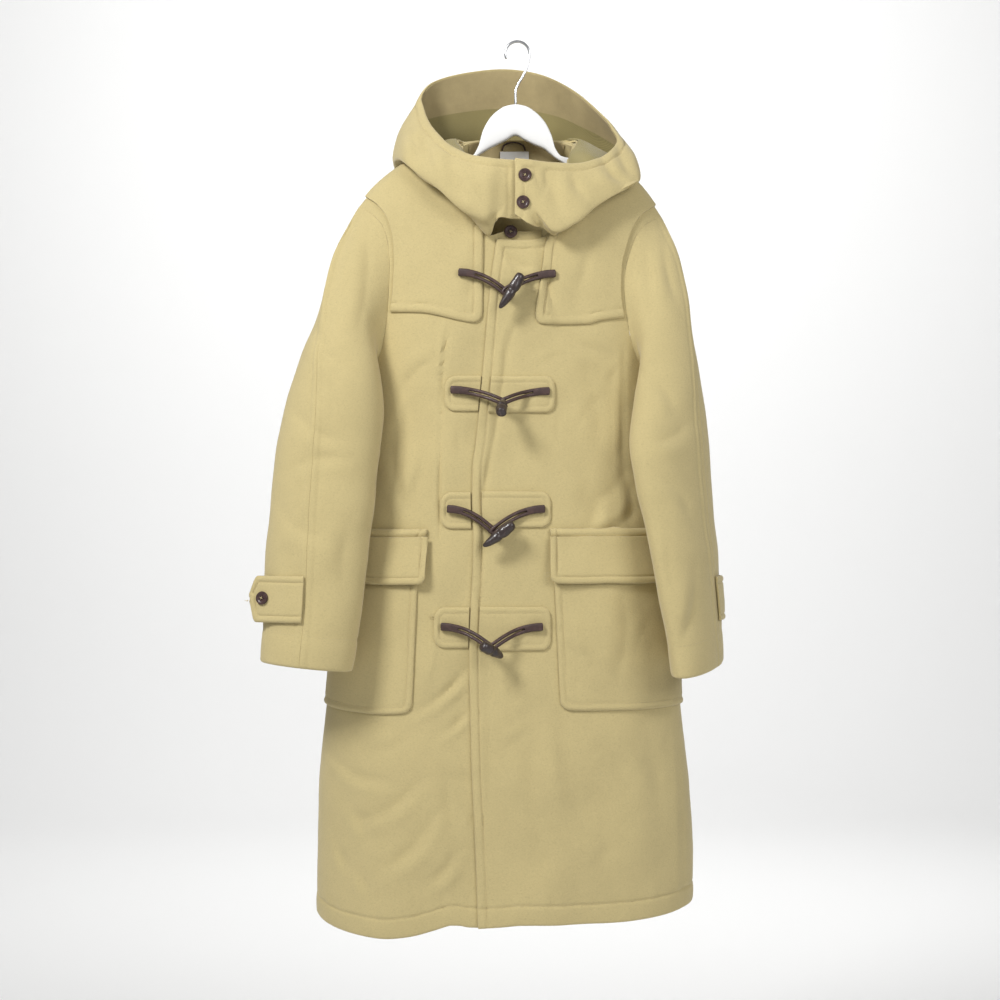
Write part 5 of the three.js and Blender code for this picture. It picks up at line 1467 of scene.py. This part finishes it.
def line_hood(inside, normals, columns):
    """Facing inside the rim and two parts of the lining: one from the facing to the fold, one beneath it."""
    faced = (columns >= 3) & (columns <= 21)
    rows = slice(1, HOOD_FACED)
    base, n = inside[rows][:, faced], normals[rows][:, faced]
    outer = base - n * 0.6
    piece = shell("hood_facing_cloth", outer - n * 0.9, outer, "facing")
    spans = (("hood_lining_cloth", 3.4, 20.6, HOOD_FACED - 1, HOOD_FACED + HOOD_SWELL - 7, 0.62, True),
             ("hood_lining_low_cloth", 4.2, 20.2, HOOD_FACED + HOOD_SWELL + 6, len(inside) - 2, 0.5, False))
    for name, first, last, low, high, wide, in_solid in spans:
        lined = (columns >= first) & (columns <= last)
        base, n = inside[low:high][:, lined], normals[low:high][:, lined]
        x, z = base[..., 0], base[..., 2]
        slack = 1.6 + 1.1 * np.sin(x * 0.045 + z * 0.02) + 0.8 * np.sin(z * 0.06 - x * 0.02 + 1.0)
        steps = np.arange(high - low)
        loose = (ease(steps / 5) * ease(steps[::-1] / 5))[:, None]
        loose = loose * (ease((columns[lined] - 7) / 2) * ease((17 - columns[lined]) / 2))[None]
        outer = base - n * (0.7 + np.maximum(slack, 0) * loose)[..., None]
        piece = shell(name, outer - n * 0.8, outer, "lining", in_solid)


# Inside the neck

LABEL = 0.7
LOOP = 1.2  # radius of the hanging loop


def make_neck():
    rows = np.linspace(TOP_ROW - 2, TOP_ROW - 0.03, 26)
    flat = read_flat("back", rows, np.linspace(BACK_SHOULDER + 1, BACK_COLUMNS - BACK_SHOULDER - 1, 60))
    grid = body_point(1, flat[..., 0], flat[..., 1])
    normals = normals_of(grid, (0, 1, 0))
    outer = grid - normals * (WOOL + LAY)
    piece = shell("neck_facing_cloth", outer - normals * LINING, outer, "facing")

    u, v = np.meshgrid(np.linspace(-24, 17, 30), np.linspace(-175, -146, 20))
    grid = body_point(1, u, v)
    normals = normals_of(grid, (0, 1, 0))
    outer = grid - normals * (WOOL + 2 * LAY + LINING + LABEL)
    piece = shell("neck_label_cloth", outer - normals * LABEL, outer, "label")

    points = []
    for x, z in ((-21, -146), (-18, -139), (-5, -134.5), (9, -139), (12, -146)):
        behind = body_point(1, np.array(float(x)), np.array(float(z)))[1] - WOOL - LAY - LINING
        points.append((x, behind - LOOP - 1.5, z))
    tube("hanging_loop_cord", points, LOOP, 60, 12, "leather", "hanging_loop")


# Cords, toggles and buttons

def tube(name, points, radius, steps, sides, finish, node, ends=0.5):
    """Round section carried along a smooth path, drawn in at both ends to a share of its size."""
    at = np.linspace(0, len(points) - 1, steps)[None]
    path = along_section(np.array(points, float)[None], at)[0]
    ahead = unit(np.gradient(path, axis=0))
    side = unit(np.cross(ahead, steady_up(ahead)))
    long = lengths(path)
    edge = np.minimum(long, long[-1] - long) / (radius * 0.6)
    size = radius * (ends + (1 - ends) * np.sqrt(np.clip(1 - (1 - np.clip(edge, 0, 1)) ** 2, 0, 1)))
    ring = ring_of(circle(sides), side, np.cross(side, ahead))
    body_of_rings(name, path[:, None] + ring * size[:, None, None], finish, node)


def steady_up(ahead):
    """A direction that is never along the path: the one the path turns least about."""
    spread = np.abs(ahead).mean(0)
    up = np.zeros(3)
    up[int(np.argmin(spread))] = 1.0
    return np.broadcast_to(up, ahead.shape)


def cord_point(x, z, up):
    surface = body_point(-1, x, z, 0.0, False)
    surface[..., 1] -= up
    return surface


# Fastenings: number, where left and right cord start and how far their loops stand off, and where they meet
FASTENINGS = (
    (1, (-79.6, -329, 11), (51, -331, 16.2), (-17, -357)),
    (2, (-90, -490, 19.6), (42.8, -492, 24.8), (-20, -508)),
    (3, (-94.5, -652, 11), (36, -652, 16.2), (-33, -682)),
    (4, (-102.6, -811, 19.6), (33, -811, 24.8), (-36, -838)),
)
CORD = 2.4  # radius of the leather cord
STRAND = 2.9  # half the distance between a cord's two strands
CORD_LIFT = 6.7
END_SHARE = 0.34  # share of a cord that its flat end covers
END_HALF = (5.4, 2.9)


def make_cords():
    for number, left, right, meet in FASTENINGS:
        for hand, (*start, end) in (("left", left), ("right", right)):
            run = np.array(meet, float) - start
            long = np.linalg.norm(run)
            share = np.array([0, 0.2, 0.45, 0.7, 0.9, 1])

            def strand(offset, share):
                x = start[0] + run[0] * share - run[1] / long * offset
                z = start[1] + run[1] * share ** 2 + run[0] / long * offset
                return cord_point(x, z, mix(CORD_LIFT, end, ease((share - 0.45) / 0.45)))

            tip = cord_point(meet[0] + run[0] / long * STRAND, meet[1] + run[1] / long * STRAND, end)
            points = np.concatenate([strand(STRAND, share), tip[None], strand(-STRAND, share)[::-1]])
            tube(f"cord_{hand}_{number}", points, size_of("cord"), 150, 14, "leather",
                 f"toggle_cord_{hand}_{number}", 0.75)
            cord_end(f"cord_end_{hand}_{number}", strand(0.0, np.linspace(-0.02, END_SHARE, 24)))


def oblong(count, power):
    """Points round an oblong with round corners, from -1 to 1 both ways."""
    turn = circle(count)
    return tuple(np.sign(v) * np.abs(v) ** power for v in (np.cos(turn), np.sin(turn)))


def cord_end(name, path):
    """Flat leather end: a rounded oblong section carried along the cord, over both of its strands."""
    ahead = unit(np.gradient(path, axis=0))
    side = unit(np.cross(ahead, (0, 1, 0)))
    up = np.cross(side, ahead)
    across, high = oblong(28, 0.6)
    across, high = across * END_HALF[0], high * END_HALF[1]
    t = np.linspace(0, 1, len(path))
    size = np.sqrt(np.clip(1 - (1 - np.clip(t / 0.06, 0, 1)) ** 2, 0.3, 1))
    size = size * (1 - 0.22 * ease((t - 0.55) / 0.45))
    ring = across[None, :, None] * side[:, None] + high[None, :, None] * up[:, None]
    body_of_rings(name, path[:, None] + ring * size[:, None, None], "leather")


# Toggles: number, then x, z and stand-off of the blunt end and of the tip
TOGGLES = (
    (1, 6, -334, 24.6, -24, -381, 24.6),
    (2, -22.5, -525, 52, -19, -506, 28),
    (3, -5, -671.5, 23.1, -46, -702.5, 23.1),
    (4, -48, -832.6, 46.3, -20, -850, 22.3),
)
TOGGLE_WIDE = 7.6
toggle_width = line_of(
    (0, 0.3), (0.02, 0.66), (0.06, 0.85), (0.14, 0.96), (0.3, 1), (0.5, 0.98), (0.7, 0.83), (0.86, 0.6),
    (0.95, 0.4), (0.985, 0.27), (1, 0.12))


def make_toggles():
    """Each toggle is a turned horn peg: blunt at one end and drawn to a point at the other, bent a little."""
    for number, x0, z0, up0, x1, z1, up1 in TOGGLES:
        blunt = cord_point(np.array(float(x0)), np.array(float(z0)), up0)
        tip = cord_point(np.array(float(x1)), np.array(float(z1)), up1)
        axis = unit(tip - blunt)
        side = unit(np.cross(axis, (0.2, 1, 0.3)))
        up = np.cross(side, axis)
        t = np.concatenate([np.linspace(0, 0.1, 14, endpoint=False), np.linspace(0.1, 0.9, 44, endpoint=False),
                            np.linspace(0.9, 1, 16)])
        turn = circle(28)
        centre = mix(blunt, tip, t[:, None]) + side * (1.1 * np.sin(np.pi * t) - 0.5)[:, None]
        uneven = 1 + 0.035 * np.sin(3 * turn[None] + 9 * t[:, None]) + 0.02 * np.sin(23 * t[:, None])
        waist = 1 - 0.13 * bell((t - 0.47) / 0.05)
        size = TOGGLE_WIDE * (toggle_width(t) * waist)[:, None] * uneven
        ring = ring_of(turn, side, up)
        body_of_rings(f"toggle_{number}_horn", centre[:, None] + ring * size[..., None], "horn", f"toggle_{number}")


BUTTON = 9.0  # radius of the buttons
BUTTON_THICK = 3.0
HOLE_PLACE = 2.4  # distance of a button's holes from its middle
HOLE = 1.15


def button(name, node, centre, front, spin=0.0):
    """Round button: a raised rim, a dished middle and four holes pressed through it, with thread across."""
    front = unit(np.array(front, float))
    side = unit(np.cross(front, (0, 0, 1)))
    up = np.cross(side, front)
    whole = size_of("button")
    radius = whole * np.concatenate([np.linspace(0.02, 0.62, 34, endpoint=False), np.linspace(0.62, 1, 22)])
    r, a = np.meshgrid(radius, circle(72) + spin, indexing="ij")
    u, v = r * np.cos(a), r * np.sin(a)
    share = r / whole
    high = BUTTON_THICK - 0.75 * ease(1 - (share - 0.5) / 0.22) - 1.2 * ease((share - 0.93) / 0.07)
    for k in range(4):
        hx, hy = (HOLE_PLACE * way(spin + k * math.pi / 2) for way in (math.cos, math.sin))
        high = high - 1.7 * ease((HOLE - np.hypot(u - hx, v - hy)) / 0.35)
    top = centre + u[..., None] * side + v[..., None] * up + high[..., None] * front
    low_u, low_v = u[-1] * 0.97, v[-1] * 0.97
    rim = centre + low_u[:, None] * side + low_v[:, None] * up
    rings = np.concatenate([top, (rim + front * 0.8)[None], rim[None], mix(rim, centre, 0.95)[None]])
    body_of_rings(name, rings, "button", node)
    for k in range(2):
        angle = spin + math.pi / 2 + k * math.pi / 2
        across = math.cos(angle), math.sin(angle)
        ends = [centre + side * across[0] * s * HOLE_PLACE + up * across[1] * s * HOLE_PLACE
                for s in (-1, -0.5, 0, 0.5, 1)]
        line = np.array([p + front * (BUTTON_THICK - 0.2 + 0.4 * (1 - abs(i - 2) / 2) + 0.3 * k)
                         for i, p in enumerate(ends)])
        ahead = unit(np.gradient(line, axis=0))
        beside = unit(np.cross(ahead, front))
        size = STITCH_HALF * np.array([0.5, 0.9, 1, 0.9, 0.5])
        ring = ring_of(circle(8), beside, np.cross(beside, ahead))
        body_of_rings(f"{name}_thread_{k + 1}", line[:, None] + ring * size[:, None, None], "thread")


def make_buttons():
    button("throat_button_upper", "throat_button_1", np.array([10, -82.9, -200]), (0, -1, 0), 0.5)
    button("throat_button_lower", "throat_button_2", np.array([7.4, -84.2, -237]), (0, -1, 0), 0.9)
    seat = front_point("left", np.array(-9.0), np.array(-272.0), False)
    seat[1] -= 0.35
    button("neck_button_horn", "neck_button", seat, (0, -1, 0.12), 0.2)
    for hand in ("left", "right"):
        seat, face = tab_seat[hand]
        button(f"cuff_button_{hand}_horn", f"cuff_button_{hand}", seat, face, 0.4)


# Cuff tabs: lower and upper edge, columns of the sleeve's back half that they follow, length of the free end
# and how far from the point the button sits
TABS = {
    "left": {"low": -803.0, "high": -742.0, "columns": (0, 1, 2), "free": 38.0, "button": 22.0},
    "right": {"low": -803.0, "high": -744.0, "columns": (0, 1, 2, 3), "free": 30.0, "button": 14.0},
}
TAB_LIFT = 1.1
tab_seat = {}


def make_tabs():
    """Cuff tabs: strips that start at the overarm seam, follow the sleeve and then stand off to a point."""
    for hand in ("left", "right"):
        tab = TABS[hand]
        control = sleeve_control(hand)
        half = control[:, HALF:]
        middle = control.mean(1)
        z = np.linspace(tab["low"], tab["high"], 30)
        held = []
        for column in tab["columns"]:
            line = half[1:, column]
            order = np.argsort(line[:, 2])
            held.append(np.stack([np.interp(z, line[order, 2], line[order, k]) for k in range(3)], -1))
        held[0] = mix(held[0], held[1], 0.08)
        along = unit(held[-1] - held[-2])
        last = held[-1]
        rows = np.stack(held + [last + along * tab["free"] * s for s in (0.33, 0.66, 1.0)], 1)
        count = rows.shape[1]
        grid = through(rows, np.concatenate([np.linspace(0, count - 2, 40, endpoint=False),
                                             np.linspace(count - 2, count - 1, 20)]), 1)
        reach = np.concatenate([np.zeros(40), np.linspace(0, 1, 20)])
        centre_z = (tab["low"] + tab["high"]) / 2
        squeeze = 1 - 0.86 * ease(reach) * reach
        grid[..., 2] = centre_z + (grid[..., 2] - centre_z) * squeeze[None]
        spot = np.array([np.interp(centre_z, middle[::-1, 2], middle[::-1, k]) for k in range(3)])
        normals = normals_of(grid, unit(grid - spot))
        grid = grid + normals * (TAB_LIFT + WOOL)
        piece = cloth(f"cuff_tab_{hand}_cloth", grid, normals, ["bottom", "top", "outer"], 8.0,
                      stitches=["bottom", "top"])
        line = grid[15]
        away = np.cumsum(np.linalg.norm(np.diff(line[::-1], axis=0), axis=1))
        k = len(line) - 2 - int(np.searchsorted(away, tab["button"]))
        tab_seat[hand] = (line[k] + normals[15, k] * 0.5, normals[15, k])


# Hanger and hook

# Sections of the hanger: x, bottom, top and half the depth
HANGER = np.array([
    (-176, -225, -203, 6), (-140, -205, -179, 7), (-110, -193, -167, 7), (-80, -178, -162, 7),
    (-62, -165, -158, 6), (-54, -158, -145, 6), (-48, -154, -124, 6.5), (-38, -148, -106, 7),
    (-28, -143, -96, 7), (-16, -137, -89, 7), (-2, -130, -86.5, 7), (12, -137, -89, 7), (24, -143, -96, 7),
    (38, -149, -110, 7), (48, -157, -129, 6.5), (54, -162, -149, 6), (62, -167, -159, 6), (80, -179, -163, 7),
    (110, -197, -174, 7), (140, -213, -191, 7), (176, -245, -225, 6),
])


def make_hanger():
    """Moulded hanger: a rounded section carried across, high in the middle dome and low along the arms."""
    x = np.concatenate([np.linspace(-176, -66, 50, endpoint=False), np.linspace(-66, 66, 160, endpoint=False),
                        np.linspace(66, 176, 50)])
    bottom, top, half = (smooth_line(HANGER[:, 0], HANGER[:, k])(x) for k in (1, 2, 3))
    y, z = oblong(40, 0.45)
    end = np.sqrt(np.clip(1 - np.clip(np.abs(x) - 172, 0, 4) ** 2 / 20, 0.1, 1))
    middle, tall = (bottom + top) / 2, (top - bottom) / 2
    rings = np.stack([
        np.broadcast_to(x[:, None], (len(x), 40)),
        (half * end)[:, None] * y[None],
        middle[:, None] + (tall * end)[:, None] * z[None],
    ], -1)
    body_of_rings("hanger_moulding", rings, "hanger", "hanger")


WIRE = 1.9
HOOK_RADIUS = 17.0


def make_hook():
    turns = np.radians([205, 180, 155, 130, 108, 90, 72, 50, 25, 0])
    bend = np.stack([0.5 + HOOK_RADIUS * np.cos(turns), np.zeros(10), WIRE - HOOK_RADIUS + HOOK_RADIUS *
                     np.sin(turns)], -1)
    tail = np.array([(16.1, 0, -25.4), (14, 0, -33.8), (9.2, 0, -45), (0.6, 0, -60), (-2, 0, -68), (-2, 0, -86.2)])
    tube("hook_bent_wire", np.concatenate([bend, tail]), WIRE, 220, 20, "wire", "hook")


# Stage

CAMERA_PLACE = (-0.0238, -2.5, -0.64)
CAMERA_LENS = 64.285
FLOOR_Z = -1.75


def light(name, place, aim, size, power):
    lamp = bpy.data.lights.new(name, "AREA")
    lamp.shape = "RECTANGLE"
    lamp.size, lamp.size_y = size
    lamp.energy = power
    holder = bpy.data.objects.new(name, lamp)
    bpy.context.scene.collection.objects.link(holder)
    holder.location = place
    holder.rotation_euler = (Vector(aim) - Vector(place)).to_track_quat("-Z", "Y").to_euler()


def make_stage():
    scene = bpy.context.scene
    camera = bpy.data.objects.new("camera", bpy.data.cameras.new("camera"))
    scene.collection.objects.link(camera)
    camera.location = CAMERA_PLACE
    camera.rotation_euler = (math.pi / 2, 0, 0)
    camera.data.sensor_width = 36
    camera.data.lens = CAMERA_LENS
    camera.data.clip_end = 60
    scene.camera = camera
    t = np.linspace(0, 1, 24) * math.pi / 2
    profile = np.concatenate([
        [(-9, FLOOR_Z)], np.stack([3.6 + 1.2 * np.sin(t), FLOOR_Z + 1.2 * (1 - np.cos(t))], -1), [(4.8, 4.5)]])
    x = np.array([-9.0, 9.0])
    grid = np.stack([np.broadcast_to(x[None], (len(profile), 2)), np.repeat(profile[:, :1], 2, 1),
                     np.repeat(profile[:, 1:], 2, 1)], -1)
    pale = Finish("pale_backdrop", 0.9)
    pale.set("Base Color", (0.86, 0.86, 0.855, 1.0))
    smooth_object("pale_floor", grid.reshape(-1, 3), grid_faces(len(profile), 2), pale.material)
    world = bpy.data.worlds.new("soft_room")
    scene.world = world
    world.use_nodes = True
    sky = world.node_tree.nodes["Background"].inputs
    sky[0].default_value = (1.0, 1.0, 1.0, 1.0)
    sky[1].default_value = 0.3
    light("key_light", (-1.5, -1.6, 1.1), (0, 0, -0.3), (0.7, 0.7), 61)
    light("fill_light", (1.6, -2.2, 0.45), (0, 0, -0.3), (1.4, 1.4), 31)
    light("wall_light", (0, 1.3, 1.6), (0, 4.8, 1.0), (3.0, 1.5), 116)
    light("back_light", (0.9, 2.6, 0.9), (0, 0, -0.5), (1.6, 1.6), 20)
    scene.view_settings.view_transform = "Standard"


# Panel, sizes and colours

def size_property(name, description, default):
    return FloatProperty(name=name, description=description, default=default * MM, unit="LENGTH")


class CoatSizes(bpy.types.PropertyGroup):
    wool: size_property("Wool", "Thickness of the wool, inwards from its face", WOOL)
    stitch_inset: size_property("Stitch inset", "Distance of the stitches from the edges of hood, front and yokes",
                                STITCH_INSET)
    cord: size_property("Cord", "Radius of the leather cord", CORD)
    button: size_property("Button", "Radius of the buttons", BUTTON)


def colour_property(name, description, default):
    return FloatVectorProperty(
        name=name, description=description, subtype="COLOR", size=3, min=0, max=1, default=default)


class CoatColours(bpy.types.PropertyGroup):
    wool: colour_property("Wool", "Outer cloth", (0.512, 0.42, 0.2))
    # The facing is the same wool as the outer cloth: its colour is painted darker here, as shade inside the hood and
    # neck.
    facing: colour_property("Facing", "Wool inside the hood and neck", (0.42, 0.335, 0.17))
    lining: colour_property("Lining", "Twill inside the hood", (0.3, 0.25, 0.098))
    leather: colour_property("Leather", "Cords of the toggles", (0.05, 0.026, 0.022))
    horn: colour_property("Horn", "Toggles", (0.032, 0.021, 0.02))
    button: colour_property("Button", "Buttons", (0.042, 0.02, 0.018))
    thread: colour_property("Thread", "Stitching", (0.5, 0.41, 0.21))
    label: colour_property("Label", "Blank label", (0.95, 0.945, 0.92))
    hanger: colour_property("Hanger", "Moulded hanger", (0.88, 0.88, 0.87))
    wire: colour_property("Wire", "Hook", (0.74, 0.75, 0.77))


def operator(identity, label, text, *steps):
    """Makes the operator class for one group of pieces."""

    def execute(self, context):
        for step in steps:
            step()
        return {"FINISHED"}

    return type(f"COAT_OT_{identity}", (bpy.types.Operator,), {
        "bl_idname": f"coat.{identity}", "bl_label": label, "__doc__": text, "execute": execute})


def stitch_step(name):
    return lambda: make_stitches(name)


OPERATORS = (
    operator("stage", "Stage", "Floor, backdrop, lights and camera", make_stage),
    operator("fronts", "Fronts", "The two fronts of the coat", make_fronts, stitch_step("stitches_fronts")),
    operator("back", "Back", "The back of the coat", make_back, stitch_step("stitches_back")),
    operator("yokes", "Yokes", "Storm yokes over the shoulders", make_yokes, stitch_step("stitches_yokes")),
    operator("pockets", "Pockets", "Patch pockets and flaps", make_pockets, stitch_step("stitches_pockets")),
    operator("patches", "Patches", "Patches under the toggles", make_patches, stitch_step("stitches_patches")),
    operator("sleeves", "Sleeves", "Both sleeves", make_sleeves, stitch_step("stitches_sleeves")),
    operator("hood", "Hood", "Hood with its facing and lining", make_hood, stitch_step("stitches_hood")),
    operator("neck", "Neck", "Facing, blank label and loop inside the neck", make_neck),
    operator("tabs", "Cuff tabs", "Tabs at the cuffs", make_tabs, stitch_step("stitches_tabs")),
    operator("cords", "Cords", "Leather cords of the fastenings", make_cords),
    operator("toggles", "Toggles", "Horn toggles", make_toggles),
    operator("buttons", "Buttons", "Throat, neck and cuff buttons", make_buttons),
    operator("hanger", "Hanger", "Moulded hanger", make_hanger),
    operator("hook", "Hook", "Wire hook", make_hook),
)


class COAT_PT_pieces(bpy.types.Panel):
    """Lists the pieces of the coat"""
    bl_label = "Duffle coat"
    bl_space_type = "VIEW_3D"
    bl_region_type = "UI"
    bl_category = "Duffle coat"

    def draw(self, context):
        for kind in OPERATORS:
            self.layout.operator(kind.bl_idname)
        for group in (context.scene.coat_sizes, context.scene.coat_colours):
            for key in group.bl_rna.properties.keys():
                if key not in ("rna_type", "name"):
                    self.layout.prop(group, key)


CLASSES = (CoatSizes, CoatColours, *OPERATORS, COAT_PT_pieces)


def register():
    for kind in CLASSES:
        bpy.utils.register_class(kind)
    bpy.types.Scene.coat_sizes = PointerProperty(type=CoatSizes)
    bpy.types.Scene.coat_colours = PointerProperty(type=CoatColours)


def unregister():
    del bpy.types.Scene.coat_colours
    del bpy.types.Scene.coat_sizes
    for kind in reversed(CLASSES):
        bpy.utils.unregister_class(kind)


def main():
    register()
    for kind in OPERATORS:
        getattr(bpy.ops.coat, kind.bl_idname.split(".")[1])()


if __name__ == "__main__":
    main()
